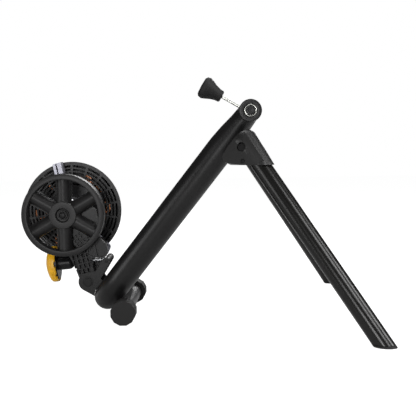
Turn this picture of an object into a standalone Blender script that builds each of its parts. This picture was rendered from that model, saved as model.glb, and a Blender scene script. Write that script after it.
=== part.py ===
# Wheel-on bike trainer.
# Metres, +Z up. X runs from the resistance unit to the leg feet, Y across, with the left side at -Y.
# The origin is on the floor, below the middle of the trainer.
import math

import bmesh
import bpy
from mathutils import Matrix, Vector

for old in list(bpy.data.objects):
    bpy.data.objects.remove(old, do_unlink=True)

LEFT = -1
RIGHT = 1
AXIS_X = Vector((1, 0, 0))
AXIS_Y = Vector((0, 1, 0))
AXIS_Z = Vector((0, 0, 1))

# The drawing's zero lies here, so that the middle of the open trainer is over the world's origin
DATUM_X = -0.0021

# Clearances
GAP = 0.0003
SIDE_PLAY = 0.001

# Main tube, a splayed U that leans back from the axle clamps to the crossbar
TUBE_RADIUS = 0.0254
TUBE_WALL = 0.002
BEND_RADIUS = 0.070
AXLE_X = 0.112
AXLE_Z = 0.3824
CROSSBAR_X = -0.162
CROSSBAR_Z = 0.035
ARM_SPREAD_TOP = 0.1358
ARM_SPREAD_LOW = 0.070
NECK_HALF_WIDTH = 0.0188
NECK_HALF_DEPTH = 0.0285
NECK_LENGTH = 0.080
BEND_STEPS = 6
NECK_STEPS = 3

# Axle clamps
SLEEVE_RADIUS = 0.0197
SLEEVE_LENGTH = 0.0590
PLUNGER_RADIUS = 0.0110
PLUNGER_PROUD = 0.0015
PLUNGER_WALL = 0.0022
PLUG_DEPTH = 0.008
PLUG_RECESS = 0.0008
CUP_RADIUS = 0.0130
CUP_INNER_FACE = 0.0780
CUP_LENGTH = 0.0120
CUP_RECESS_RADIUS = 0.0090
CUP_RECESS_DEPTH = 0.0070
HANDLE_ANGLE = 150.0
HANDLE_DROP = 0.0012
HANDLE_OFFSET = 0.0985
HANDLE_ROD_RADIUS = 0.0025
HANDLE_COLLAR_RADIUS = 0.0045
HANDLE_COLLAR_LENGTH = 0.006
HANDLE_SOCKET_DEPTH = 0.004
KNOB_START = 0.0559
KNOB_LENGTH = 0.0422
KNOB_ROD_DEPTH = 0.020
KNOB_NECK_RADIUS = 0.0108
KNOB_END_RADIUS = 0.0203
KNOB_EDGE = 0.0040
KNOB_WAIST = ((0.20, 0.05), (0.42, 0.34), (0.62, 0.76))
SPINDLE_RADIUS = 0.0090
SPINDLE_LENGTH = 0.0930
LOCK_RING_RADIUS = 0.0165
LOCK_RING_LENGTH = 0.0080
END_KNOB_RADIUS = 0.0150
END_KNOB_LENGTH = 0.0115
END_KNOB_DEPTH = 0.0050

# Folding legs: the leg's axis meets the floor at the foot point
LEG_RADIUS = 0.015875
LEG_WALL = 0.0016
LEG_FOOT_X = 0.3160
LEG_FOOT_SPREAD = 0.3110
LEG_TOP_BEHIND = 0.0052
LEG_TOP_OUTSIDE = 0.0372
LEG_TOP_DROP = 0.0624
LEG_TOP_X = AXLE_X - LEG_TOP_BEHIND
LEG_TOP_SPREAD = ARM_SPREAD_TOP + LEG_TOP_OUTSIDE
LEG_TOP_Z = AXLE_Z - LEG_TOP_DROP
LEG_PIVOT_OFFSET = 0.0079
FOLDED_SPREAD_RATE = 0.0255
FOOT_CAP_SOLE = 0.0040
FOOT_PLUG_LENGTH = 0.030

# Leg knuckle, drawn in the plane of the leg's fold around the pivot
KNUCKLE_SOCKET_START = 0.0165
KNUCKLE_SOCKET_END = 0.0750
KNUCKLE_MOUTH_DROP = 0.0312
KNUCKLE_HEAD_END = 0.0230
KNUCKLE_HEAD_EDGE = 0.0045
KNUCKLE_TOP_RADIUS = 0.0236
KNUCKLE_END_RADIUS = 0.0184
CHEEK_OUTER = 0.0205
CHEEK_INNER = -0.0004
CHEEK_OUTLINE = ((-0.0185, -0.0190), (-0.0204, -0.0050), (-0.0190, 0.0065), (-0.0150, 0.0199),
                 (-0.0090, 0.0336), (-0.0041, 0.0380), (0.0030, 0.0380), (0.0103, 0.0342),
                 (0.0308, 0.0126), (0.0420, 0.0010), (0.0420, -0.0190))
HEEL_LENGTH = 0.0165
HEEL_DEPTH = 0.0120
HEEL_WIDTH = 0.0120
HEEL_START = -0.0190
PIVOT_BOLT_RADIUS = 0.0040
PIVOT_HEAD_RADIUS = 0.0068
PIVOT_HEAD_LENGTH = 0.0045
PIVOT_RECESS_RADIUS = 0.0080
PIVOT_RECESS_DEPTH = 0.0070
PIVOT_NUT_RADIUS = 0.0072
PIVOT_NUT_LENGTH = 0.0060
KNUCKLE_SCREW_RADIUS = 0.0038
KNUCKLE_SCREW_DEPTH = 0.0100
KNUCKLE_SCREW_PLACE = (0.0216, 0.0115)
LUG_THICKNESS = 0.0100
LUG_RADIUS = 0.0140
LUG_TOP = -0.0190
LUG_BLOCK_TOP = -0.0215
LUG_BLOCK_LOW = -0.0090
LUG_BLOCK_DEPTH = 0.0340
STOP_GAP = 0.0003

# Rear foot bar
FOOT_BAR_X = -0.1213
FOOT_BAR_RADIUS = 0.0143
FOOT_BAR_WALL = 0.0016
FOOT_CAP_APOTHEM = 0.0224
FOOT_CAP_SIDES = 12
FOOT_CAP_LENGTH = 0.0350
FOOT_CAP_END = 0.0060
FOOT_SPREAD = 0.1296
SADDLE_WIDTH = 0.0220
SADDLE_LENGTH = 0.0360

# Pivot bracket on the crossbar, and the yoke that turns on it
PIVOT_X = -0.1970
PIVOT_Z = 0.0652
PLATE_THICKNESS = 0.0030
PLATE_INNER = 0.0295
PLATE_ROUND = 0.0185
PLATE_ARM_ROUND = 0.0070
PLATE_WELD_LOW = (-0.1760, 0.0320)
PLATE_WELD_IN = (-0.1600, 0.0450)
PLATE_WELD_HIGH = (-0.1650, 0.0600)
PLATE_WAIST = (-0.1730, 0.0710)
PLATE_NECK = (-0.1820, 0.0856)
YOKE_BOLT_RADIUS = 0.0040
YOKE_BOLT_HEAD = 0.0076
YOKE_BOLT_HEAD_LENGTH = 0.0050
YOKE_BOLT_FLANGE = 0.0098
YOKE_BOLT_FLANGE_THICKNESS = 0.0012
YOKE_NUT_LENGTH = 0.0065
BUSH_WALL = 0.0025
YOKE_BOSS_RADIUS = 0.0145
YOKE_OUTLINE = ((-0.2202, 0.0878), (-0.2256, 0.1014), (-0.2320, 0.1131), (-0.2370, 0.1290), (-0.2340, 0.1480),
                (-0.1980, 0.1500), (-0.1740, 0.1440), (-0.1660, 0.1330), (-0.1665, 0.1230), (-0.1860, 0.1190),
                (-0.1953, 0.1180), (-0.1927, 0.1100), (-0.1857, 0.0854))
ARM_THICKNESS = 0.0100
NEAR_ARM_FACE = -0.0470
FAR_ARM_FACE = PLATE_INNER + PLATE_THICKNESS + SIDE_PLAY / 2
FAR_ARM_THICKNESS = 0.0080
HUB_RADIUS = 0.0260
ARM_LOBE = ((-0.2330, 0.1500), (-0.1960, 0.1190), (-0.1850, 0.1135), (-0.1635, 0.1127), (-0.1592, 0.1165),
            (-0.1565, 0.1279), (-0.1591, 0.1393), (-0.1702, 0.1509), (-0.1715, 0.1800), (-0.1760, 0.2050),
            (-0.1950, 0.2180))
FAR_LOBE = ((-0.2330, 0.1500), (-0.1960, 0.1190), (-0.1790, 0.1112), (-0.1668, 0.1098), (-0.1622, 0.1190),
            (-0.1607, 0.1240), (-0.1618, 0.1290), (-0.1700, 0.1350), (-0.1830, 0.1500), (-0.2000, 0.1900))
BRIDGE = ((-0.1960, 0.1212), (-0.1680, 0.1212), (-0.1672, 0.1330), (-0.1750, 0.1425), (-0.1960, 0.1450))
BRIDGE_SETBACK = 0.0052
YOKE_WEB = ((-0.2000, 0.0870), (-0.1880, 0.0790), (-0.1780, 0.0880), (-0.1755, 0.0975), (-0.2000, 0.0975))
WEB_NEAR_FACE = -0.0050
WEB_INSET = 0.0010
ARM_POCKET_DEPTH = 0.0050
ARM_POCKETS = (((-0.1754, 0.1152), (-0.1652, 0.1149), (-0.1612, 0.1179), (-0.1588, 0.1279), (-0.1613, 0.1381),
                (-0.1724, 0.1500), (-0.1737, 0.1620), (-0.1848, 0.1620)),
               ((-0.1800, 0.1157), (-0.1843, 0.1155), (-0.1935, 0.1203), (-0.1935, 0.1620), (-0.1893, 0.1620)))
LATTICE_CENTRE = (-0.2090, 0.1500)
LATTICE_SIDE = 3
LATTICE_SIZE = 0.0052
LATTICE_PITCH = 0.0074
LATTICE_LEAN = 38.0
POCKET_COLUMNS = 4
POCKET_ROWS = 5
POCKET_WIDTH = 0.0064
POCKET_HEIGHT = 0.0080
POCKET_PITCH = 0.0088
POCKET_ROW_PITCH = 0.0100
POCKET_DEPTH = 0.0100
POCKET_FIRST_ROW = 0.0215
POCKET_LEAN = 13.5
POCKET_SHIFT = -0.0012
ARM_SCREW_RADIUS = 0.0025
ARM_SCREW_HEAD = 0.0045
ARM_SCREW_HEAD_LENGTH = 0.0025
ARM_SCREW_LENGTH = 0.014
ARM_SCREW_PLACES = ((-0.1720, 0.1240), (-0.1860, 0.1380), (-0.2200, 0.1420))

# Ribbed block on top of the silver arm
BLOCK_ANGLE = 102.5
BLOCK_OUTER = 0.0980
BLOCK_INNER = 0.0760
BLOCK_LEFT = -0.0148
BLOCK_RIGHT = 0.0044
BLOCK_DEPTH = 0.0280
BLOCK_GROOVES = ((-0.0160, -0.0110), (-0.0069, -0.0039))
BLOCK_GROOVE_DEPTH = 0.0140
MAST_WIDTH = 0.0140
MAST_OFFSET = -0.0205
MAST_TOP = 0.0820

# Roller, shaft, flywheel and rotor, all on the unit's axis
UNIT_X = -0.2350
UNIT_Z = 0.1970
SHAFT_RADIUS = 0.0060
SHAFT_NEAR_END = -0.0735
SHAFT_FAR_END = 0.0940
ROLLER_RADIUS = 0.0286
ROLLER_HALF_LENGTH = 0.0290
ROLLER_EDGE = 0.0020
BEARING_RADIUS = 0.0160
FLY_RADIUS = 0.0767
FLY_RIM_INNER = 0.0665
FLY_NEAR_FACE = -0.0770
FLY_FAR_FACE = -0.0510
FLY_HUB_RADIUS = 0.0253
FLY_HUB_FACE = -0.0755
FLY_RECESS_RADIUS = 0.0130
FLY_RECESS_DEPTH = 0.0060
FLY_SPOKES = 6
FLY_SPOKE_WIDTH = 0.0275
FLY_SPOKE_BACK = -0.0540
FLY_SPOKE_DEPTH = 0.0160
FLY_NUT_RADIUS = 0.0095
SPOKE_STEPS = 8
ROTOR_RADIUS = 0.0800
ROTOR_NEAR_FACE = 0.0700
ROTOR_THICKNESS = 0.0040
ROTOR_HUB_RADIUS = 0.0150
ROTOR_HUB_LENGTH = 0.0180
FAN_BLADES = 12
FAN_BLADE_INNER = 0.0300
FAN_BLADE_OUTER = 0.0760
FAN_BLADE_WIDTH = 0.0030
FAN_BLADE_HEIGHT = 0.0110

# Stator inside the cage
STATOR_RING_INNER = 0.0480
STATOR_RING_OUTER = 0.0820
STATOR_RING_THICKNESS = 0.0040
STATOR_RING_FACE = 0.0590
STANDOFFS = 3
STANDOFF_RADIUS = 0.0030
STANDOFF_CIRCLE = 0.0764
STANDOFF_FIRST_ANGLE = 55.0
COIL_COUNT = 6
COIL_PITCH_RADIUS = 0.0650
COIL_FIRST_ANGLE = 85.0
CORE_RADIUS = 0.0070
CORE_PROUD = 0.0035
COIL_RADIUS = 0.0120
COIL_LENGTH = 0.0120
COIL_LEAD = 0.0010

# Cage
CAGE_RADIUS = 0.0966
CAGE_INNER = 0.0180
CAGE_FRONT_FACE = FAR_ARM_FACE + FAR_ARM_THICKNESS + GAP
CAGE_FRONT_THICKNESS = 0.0030
CAGE_BAND_RADIUS = 0.0950
CAGE_BAND_WALL = 0.0025
CAGE_BACK_FACE = 0.1020
CAGE_BACK_THICKNESS = 0.0025
CAGE_BACK_INNER = 0.0200
CAGE_BACK_RADIUS = 0.0885
CAGE_SECTORS = 18
CAGE_RIB_ANGLE = 3.2
SLOT_WIDTH = 0.0036
SLOT_PITCH = 0.00705
SLOT_OUTER = 0.0895
FRONT_SLOT_ROWS = 6
BACK_SLOTS = ((0.0820, 0.0340),)
BAND_SLOT_MARGIN = 0.010

# Tension rod, thrust sleeve and knob
TRUNNION_X = -0.1610
TRUNNION_Z = 0.1045
TRUNNION_RADIUS = 0.0060
ROD_DROP_ANGLE = 4.6
ROD_RADIUS = 0.0040
ROD_REACH_IN_KNOB = 0.0087
SEAT_DISTANCE = 0.0660
SEAT_RADIUS = 0.0130
SEAT_SLOT_HALF_HEIGHT = 0.0117
SEAT_SLOT_HALF_WIDTH = 0.0055
THRUST_RADIUS = 0.0128
THRUST_NOSE_ANGLE = 24.0
THRUST_LENGTH = 0.0362
THRUST_FLANGE_RADIUS = 0.0295
THRUST_FLANGE_LENGTH = 0.0054
TENSION_KNOB_RADIUS = 0.0355
TENSION_KNOB_LENGTH = 0.0222
TENSION_KNOB_FLOOR = 0.0015
TENSION_KNOB_CAVITY = 0.0040
TENSION_KNOB_LOBES = 8
TENSION_KNOB_FLUTE = 0.0010
TENSION_KNOB_LOBE_ANGLE = 28.0
TENSION_KNOB_NOTCH_WIDTH = 0.0110
TENSION_KNOB_NOTCH_DEPTH = 0.0026
TENSION_KNOB_SIDE = ((0.97, 0.00), (1.00, 0.10), (1.00, 0.41), (0.72, 0.755), (0.31, 0.96), (0.10, 1.00))

ROUND = 20
FINE_ROUND = 40
SMALL_ROUND = 12
TUBE_SIDES = 24
BORE_SIDES = 16
SHARP_ANGLE = math.radians(35)


def material(name, colour, roughness, metallic=0.0):
    made = bpy.data.materials.new(name)
    made.use_nodes = True
    shader = made.node_tree.nodes["Principled BSDF"]
    shader.inputs["Base Color"].default_value = (*colour, 1.0)
    shader.inputs["Roughness"].default_value = roughness
    shader.inputs["Metallic"].default_value = metallic
    return made


POWDER_BLACK = material("powder_black", (0.022, 0.022, 0.023), 0.45)
SATIN_BLACK = material("satin_black", (0.028, 0.027, 0.026), 0.35)
MOULDED_BLACK = material("moulded_black", (0.020, 0.020, 0.021), 0.55)
RUBBER_BLACK = material("rubber_black", (0.025, 0.025, 0.026), 0.75)
CHROME = material("chrome", (0.75, 0.75, 0.76), 0.12, 1.0)
ZINC_STEEL = material("zinc_steel", (0.45, 0.45, 0.46), 0.35, 1.0)
ALUMINIUM = material("aluminium", (0.62, 0.63, 0.68), 0.35, 1.0)
CAST_IRON = material("painted_cast_iron", (0.030, 0.030, 0.031), 0.50)
COPPER = material("copper_wire", (0.75, 0.35, 0.18), 0.35, 1.0)
YELLOW = material("yellow_plastic", (0.85, 0.47, 0.02), 0.45)


class Basis:
    """A place and three directions; shapes are drawn along x, y and z and laid along u, v and w."""

    def __init__(self, origin, u, v, w):
        self.origin = Vector(origin)
        self.u = Vector(u)
        self.v = Vector(v)
        self.w = Vector(w)

    def direction(self, x, y, z):
        return self.u * x + self.v * y + self.w * z

    def point(self, x, y, z):
        return self.origin + self.direction(x, y, z)

    def moved(self, x, y, z):
        return Basis(self.point(x, y, z), self.u, self.v, self.w)


def across(x, z, side=RIGHT):
    """A basis on the point (x, z) of the middle plane: u along X, v along Z, w outwards on one side."""
    return Basis((x, 0, z), AXIS_X, AXIS_Z, AXIS_Y * side)


def make_empty(name, place):
    made = bpy.data.objects.new(name, None)
    bpy.context.scene.collection.objects.link(made)
    made.location = place
    return made


DATUM = make_empty("datum", (DATUM_X, 0, 0))


def part(name, mesh_data, basis, finish, parent=None):
    """One named object whose origin is its basis's origin."""
    bm = mesh_data
    for vert in bm.verts:
        vert.co = basis.direction(*vert.co)
    bmesh.ops.recalc_face_normals(bm, faces=bm.faces)
    if bm.calc_volume(signed=True) < 0:
        bmesh.ops.reverse_faces(bm, faces=bm.faces)
    mesh = bpy.data.meshes.new(name)
    bm.to_mesh(mesh)
    bm.free()
    mesh.materials.append(finish)
    mesh.shade_smooth()
    mesh.set_sharp_from_angle(angle=SHARP_ANGLE)
    made = bpy.data.objects.new(name, mesh)
    bpy.context.scene.collection.objects.link(made)
    made.parent = parent or DATUM
    made.location = basis.origin - (parent.location if parent else Vector())
    return made


def axis_empty(name, place):
    """An empty on a joint's axis, which carries the pieces that move on it."""
    made = make_empty(name, place)
    made.parent = DATUM
    return made


def tool(name, mesh_data, basis):
    """A hidden shape that cuts another."""
    made = part(name, mesh_data, basis, ZINC_STEEL)
    made.hide_render = True
    made.display_type = "WIRE"
    return made


def combine(target, other, operation):
    modifier = target.modifiers.new(operation.lower() + "_" + other.name, "BOOLEAN")
    modifier.operation = operation
    modifier.object = other
    modifier.solver = "EXACT"


def cut(target, *cutters):
    for cutter in cutters:
        combine(target, cutter, "DIFFERENCE")


def fuse(target, *others):
    for other in others:
        combine(target, other, "UNION")


def lathe(profile, segments=ROUND, closed=False):
    """Turns (radius, height) points around z; a closed profile makes a ring, an open one ends on z."""
    bm = bmesh.new()
    rings = []
    for radius, height in profile:
        if radius == 0:
            rings.append([bm.verts.new((0, 0, height))])
            continue
        turn = [2 * math.pi * k / segments for k in range(segments)]
        rings.append([bm.verts.new((radius * math.cos(a), radius * math.sin(a), height)) for a in turn])
    pairs = list(zip(rings, rings[1:]))
    if closed:
        pairs.append((rings[-1], rings[0]))
    for low, high in pairs:
        for k in range(segments):
            following = (k + 1) % segments
            if len(low) == 1:
                bm.faces.new((low[0], high[k], high[following]))
            elif len(high) == 1:
                bm.faces.new((low[k], low[following], high[0]))
            else:
                bm.faces.new((low[k], low[following], high[following], high[k]))
    return bm


def rod(radius, start, end, segments=SMALL_ROUND):
    return lathe(((0, start), (radius, start), (radius, end), (0, end)), segments)


def ring(inner, outer, start, end, segments=ROUND):
    return lathe(((inner, start), (outer, start), (outer, end), (inner, end)), segments, closed=True)


def prism(outline, start, end):
    """Extrudes an outline in x and y from one z to another."""
    bm = bmesh.new()
    low = [bm.verts.new((x, y, start)) for x, y in outline]
    high = [bm.verts.new((x, y, end)) for x, y in outline]
    bm.faces.new(low)
    bm.faces.new(high)
    for k in range(len(outline)):
        following = (k + 1) % len(outline)
        bm.faces.new((low[k], low[following], high[following], high[k]))
    return bm


def box(x0, x1, y0, y1, z0, z1):
    return prism(((x0, y0), (x1, y0), (x1, y1), (x0, y1)), z0, z1)


def arc(centre, radius, first, last, steps):
    """Points on an arc, with its angles in degrees."""
    angles = [math.radians(first + (last - first) * k / steps) for k in range(steps + 1)]
    return [(centre[0] + radius * math.cos(a), centre[1] + radius * math.sin(a)) for a in angles]


def polygon(sides, radius, turn=0.0):
    angles = [2 * math.pi * k / sides + turn for k in range(sides)]
    return [(radius * math.cos(a), radius * math.sin(a)) for a in angles]


def loft(rings):
    """A closed body through rings of points, with flat ends."""
    bm = bmesh.new()
    loops = [[bm.verts.new(p) for p in points] for points in rings]
    for low, high in zip(loops, loops[1:]):
        count = len(low)
        for k in range(count):
            following = (k + 1) % count
            bm.faces.new((low[k], low[following], high[following], high[k]))
    bm.faces.new(loops[0])
    bm.faces.new(loops[-1])
    return bm


def heading(first, last):
    """Degrees of the direction from one point to another."""
    return math.degrees(math.atan2(last[1] - first[1], last[0] - first[0]))


def relative(points, centre):
    return [(x - centre[0], y - centre[1]) for x, y in points]


def hex_nut(name, radius, bore, start, end, basis, parent=None):
    nut = part(name, prism(polygon(6, radius), start, end), basis, ZINC_STEEL, parent)
    reach = abs(start) + abs(end)
    cut(nut, tool(name + "_thread", rod(bore, -reach, reach), basis))


# Main tube
ARM_RISE = Vector((AXLE_X - CROSSBAR_X, 0, AXLE_Z - CROSSBAR_Z))
ARM_HEIGHT = ARM_RISE.length
FRAME_UP = ARM_RISE.normalized()
FRAME_NORMAL = FRAME_UP.cross(AXIS_Y)
FRAME = Basis((CROSSBAR_X, 0, CROSSBAR_Z), AXIS_Y, FRAME_UP, FRAME_NORMAL)


def tube_path(past_axle):
    """Points and directions of the tube's middle line, in the frame's plane, from left to right."""
    top = Vector((-ARM_SPREAD_TOP, ARM_HEIGHT))
    corner = Vector((-ARM_SPREAD_LOW, 0))
    down = (corner - top).normalized()
    turn = math.acos(down.x)
    tangent = BEND_RADIUS * math.tan(turn / 2)
    bend_start = corner - down * tangent
    inward = Vector((-down.y, down.x))
    centre = bend_start + inward * BEND_RADIUS
    half = [(top - down * past_axle, down)]
    half += [(top + down * NECK_LENGTH * k / NECK_STEPS, down) for k in range(1, NECK_STEPS + 1)]
    for k in range(BEND_STEPS + 1):
        angle = turn * k / BEND_STEPS
        spoke = bend_start - centre
        turned = Vector((spoke.x * math.cos(angle) - spoke.y * math.sin(angle),
                         spoke.x * math.sin(angle) + spoke.y * math.cos(angle)))
        along = Vector((down.x * math.cos(angle) - down.y * math.sin(angle),
                        down.x * math.sin(angle) + down.y * math.cos(angle)))
        half.append((centre + turned, along))
    mirrored = [(Vector((-p.x, p.y)), Vector((d.x, -d.y))) for p, d in reversed(half)]
    return half + mirrored


def tube_rings(inset, past_axle, segments):
    """Rings round the tube, drawn in by inset; near the clamps they are squeezed flat."""
    rings = []
    for place, along in tube_path(past_axle):
        below_axle = (ARM_HEIGHT - place.y) / NECK_LENGTH
        squeeze = max(0.0, 1 - max(0.0, below_axle))
        squeeze = squeeze * squeeze * (3 - 2 * squeeze)
        width = TUBE_RADIUS + (NECK_HALF_WIDTH - TUBE_RADIUS) * squeeze - inset
        depth = TUBE_RADIUS + (NECK_HALF_DEPTH - TUBE_RADIUS) * squeeze - inset
        side = Vector((-along.y, along.x))
        loop = []
        for k in range(segments):
            angle = 2 * math.pi * k / segments
            offset = side * depth * math.cos(angle)
            loop.append((place.x + offset.x, place.y + offset.y, width * math.sin(angle)))
        rings.append(loop)
    return rings


def tube_envelope(name):
    """The main tube's outer shape with the touching gap round it, for cutting what is welded on."""
    return tool(name, loft(tube_rings(-GAP, GAP, TUBE_SIDES)), FRAME)


def sleeve_basis(side):
    """On the axle's axis at the sleeve's middle, with w outwards."""
    return Basis((AXLE_X, side * ARM_SPREAD_TOP, AXLE_Z), AXIS_X, AXIS_Z, AXIS_Y * side)


def main_tube():
    tube = part("main_tube", loft(tube_rings(0, 0, TUBE_SIDES)), FRAME, POWDER_BLACK)
    cut(tube, tool("tube_bore", loft(tube_rings(TUBE_WALL, TUBE_RADIUS, BORE_SIDES)), FRAME))
    for side, word in ((LEFT, "left"), (RIGHT, "right")):
        clear = rod(SLEEVE_RADIUS + GAP, -SLEEVE_LENGTH, SLEEVE_LENGTH, FINE_ROUND)
        cut(tube, tool(word + "_sleeve_cope", clear, sleeve_basis(side)))
    return tube


# Axle clamps
SLEEVE_OUTER_END = ARM_SPREAD_TOP + SLEEVE_LENGTH / 2
CUP_OUTER_FACE = CUP_INNER_FACE + CUP_LENGTH


def clamp_sleeves():
    half = SLEEVE_LENGTH / 2
    for side, word, bore in ((LEFT, "left", PLUNGER_RADIUS), (RIGHT, "right", SPINDLE_RADIUS)):
        wall = ring(bore + GAP, SLEEVE_RADIUS, -half, half, FINE_ROUND)
        part(word + "_clamp_sleeve", wall, sleeve_basis(side), POWDER_BLACK)


def axle_cup(name, side, finish, parent):
    floor = CUP_INNER_FACE + CUP_RECESS_DEPTH
    profile = ((0, floor), (CUP_RECESS_RADIUS, floor), (CUP_RECESS_RADIUS, CUP_INNER_FACE),
               (CUP_RADIUS, CUP_INNER_FACE), (CUP_RADIUS, CUP_OUTER_FACE), (0, CUP_OUTER_FACE))
    part(name, lathe(profile), across(AXLE_X, AXLE_Z, side), finish, parent)


def left_clamp():
    """The sliding cup, and on it the turning plunger with its handle."""
    axle = across(AXLE_X, AXLE_Z, LEFT)
    slide = axis_empty("left_cup_slide", axle.origin)
    turn = axis_empty("left_handle_axis", axle.origin)
    axle_cup("left_axle_cup", LEFT, ZINC_STEEL, slide)
    outer = SLEEVE_OUTER_END + PLUNGER_PROUD
    bore = PLUNGER_RADIUS - PLUNGER_WALL
    floor = outer - PLUG_DEPTH - PLUG_RECESS - GAP
    profile = ((0, CUP_OUTER_FACE + GAP), (PLUNGER_RADIUS, CUP_OUTER_FACE + GAP), (PLUNGER_RADIUS, outer),
               (bore, outer), (bore, floor), (0, floor))
    plunger = part("left_plunger", lathe(profile), axle, CHROME, turn)
    plug = rod(bore - GAP, floor + GAP, outer - PLUG_RECESS, ROUND)
    part("left_plunger_plug", plug, axle, MOULDED_BLACK, turn)
    angle = math.radians(HANDLE_ANGLE)
    out = Vector((math.cos(angle), 0, math.sin(angle)))
    drop = out.cross(AXIS_Y)
    foot = Vector((AXLE_X, LEFT * HANDLE_OFFSET, AXLE_Z)) + drop * HANDLE_DROP
    base = Basis(foot, AXIS_Y, drop, out)
    seat = PLUNGER_RADIUS - HANDLE_SOCKET_DEPTH
    socket = rod(HANDLE_COLLAR_RADIUS + GAP, seat, PLUNGER_RADIUS + HANDLE_SOCKET_DEPTH)
    cut(plunger, tool("handle_socket", socket, base))
    collar_top = PLUNGER_RADIUS + HANDLE_COLLAR_LENGTH
    stem = lathe(((0, seat + GAP), (HANDLE_COLLAR_RADIUS, seat + GAP), (HANDLE_COLLAR_RADIUS, collar_top),
                  (HANDLE_ROD_RADIUS, collar_top), (HANDLE_ROD_RADIUS, KNOB_START + KNOB_ROD_DEPTH),
                  (0, KNOB_START + KNOB_ROD_DEPTH)), SMALL_ROUND)
    part("clamp_handle_rod", stem, base, CHROME, turn)
    part("clamp_handle_knob", lathe(handle_knob_profile()), base, RUBBER_BLACK, turn)


def handle_knob_profile():
    """A bell with a narrow neck and a wide rounded end, bored for the rod."""
    bore = HANDLE_ROD_RADIUS + GAP
    end = KNOB_START + KNOB_LENGTH
    bottom = KNOB_START + KNOB_ROD_DEPTH + GAP
    edge = KNOB_EDGE / 2
    flare = KNOB_END_RADIUS - KNOB_NECK_RADIUS
    side = [(KNOB_NECK_RADIUS + flare * out, KNOB_START + KNOB_LENGTH * along) for along, out in KNOB_WAIST]
    rim = [(KNOB_END_RADIUS, end - KNOB_EDGE * 2.5), (KNOB_END_RADIUS - edge / 2, end - KNOB_EDGE),
           (KNOB_END_RADIUS - KNOB_EDGE * 1.2, end - edge / 2)]
    return [(0, bottom), (bore, bottom), (bore, KNOB_START), (KNOB_NECK_RADIUS - edge, KNOB_START),
            (KNOB_NECK_RADIUS, KNOB_START + edge)] + side + rim + [(0, end)]


def right_clamp():
    """The adjustable cup on its threaded spindle, locked by a ring."""
    axle = across(AXLE_X, AXLE_Z, RIGHT)
    slide = axis_empty("right_cup_slide", axle.origin)
    lock = axis_empty("lock_ring_axis", axle.origin)
    axle_cup("right_axle_cup", RIGHT, ZINC_STEEL, slide)
    tip = CUP_OUTER_FACE + GAP
    end = tip + SPINDLE_LENGTH
    part("right_spindle", rod(SPINDLE_RADIUS, tip, end, ROUND), axle, ZINC_STEEL, slide)
    start = SLEEVE_OUTER_END + GAP
    nut = ring(SPINDLE_RADIUS + GAP, LOCK_RING_RADIUS, start, start + LOCK_RING_LENGTH)
    part("right_lock_ring", nut, axle, SATIN_BLACK, lock)
    bore = SPINDLE_RADIUS + GAP
    cap_start = end - END_KNOB_DEPTH
    cap_end = cap_start + END_KNOB_LENGTH
    cap = lathe(((0, end + GAP), (bore, end + GAP), (bore, cap_start), (END_KNOB_RADIUS, cap_start),
                 (END_KNOB_RADIUS, cap_end), (0, cap_end)))
    part("right_end_knob", cap, axle, MOULDED_BLACK, slide)


# Folding legs
def leg_frame(side):
    """On the leg's pivot: u down the leg, v across it in the plane of the fold, w inwards along the pivot."""
    top = Vector((LEG_TOP_X, side * LEG_TOP_SPREAD, LEG_TOP_Z))
    foot = Vector((LEG_FOOT_X, side * LEG_FOOT_SPREAD, 0))
    down = (foot - top).normalized()
    folded = Vector((-FRAME_UP.x, -side * FOLDED_SPREAD_RATE, -FRAME_UP.z)).normalized()
    axis = down.cross(folded).normalized() * -side
    over = axis.cross(down) * -side
    pivot = top + over * LEG_PIVOT_OFFSET
    return Basis(pivot, down, over, axis), folded


LEG_FRAMES = {side: leg_frame(side)[0] for side in (LEFT, RIGHT)}
LEG_LENGTH = (LEG_TOP_Z / -LEG_FRAMES[LEFT].u.z)


def leg_axis_basis(side):
    """On the leg's own axis beside the pivot, with w down the leg."""
    frame = LEG_FRAMES[side]
    return Basis(frame.point(0, -LEG_PIVOT_OFFSET, 0), frame.v, frame.w, frame.u)


def below_plane(height):
    """A block that fills everything below a height, for level cuts at the floor."""
    reach = LEG_FOOT_SPREAD * 2
    return box(-reach, reach, -reach, reach, height - reach, height)


WORLD = Basis((0, 0, 0), AXIS_X, AXIS_Y, AXIS_Z)


def above_plane(height):
    reach = LEG_FOOT_SPREAD * 2
    return box(-reach, reach, -reach, reach, height, height + reach)


def leg(side, word, parent):
    basis = leg_axis_basis(side)
    past_floor = LEG_LENGTH + TUBE_RADIUS * 2
    start = KNUCKLE_SOCKET_START + GAP + GAP
    tube = part(word + "_leg", ring(LEG_RADIUS - LEG_WALL, LEG_RADIUS, start, past_floor, ROUND), basis,
                SATIN_BLACK, parent)
    cut(tube, tool(word + "_leg_floor_cut", below_plane(FOOT_CAP_SOLE + GAP), WORLD))
    sole = rod(LEG_RADIUS, LEG_LENGTH - TUBE_RADIUS * 2, past_floor, ROUND)
    cap = part(word + "_foot_cap", sole, basis, RUBBER_BLACK, parent)
    cut(cap, tool(word + "_cap_top_cut", above_plane(FOOT_CAP_SOLE), WORLD))
    plug = rod(LEG_RADIUS - LEG_WALL - GAP, LEG_LENGTH - FOOT_PLUG_LENGTH, past_floor, ROUND)
    fuse(cap, tool(word + "_cap_plug", plug, basis))
    cut(cap, tool(word + "_cap_floor_cut", below_plane(0), WORLD))


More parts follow.
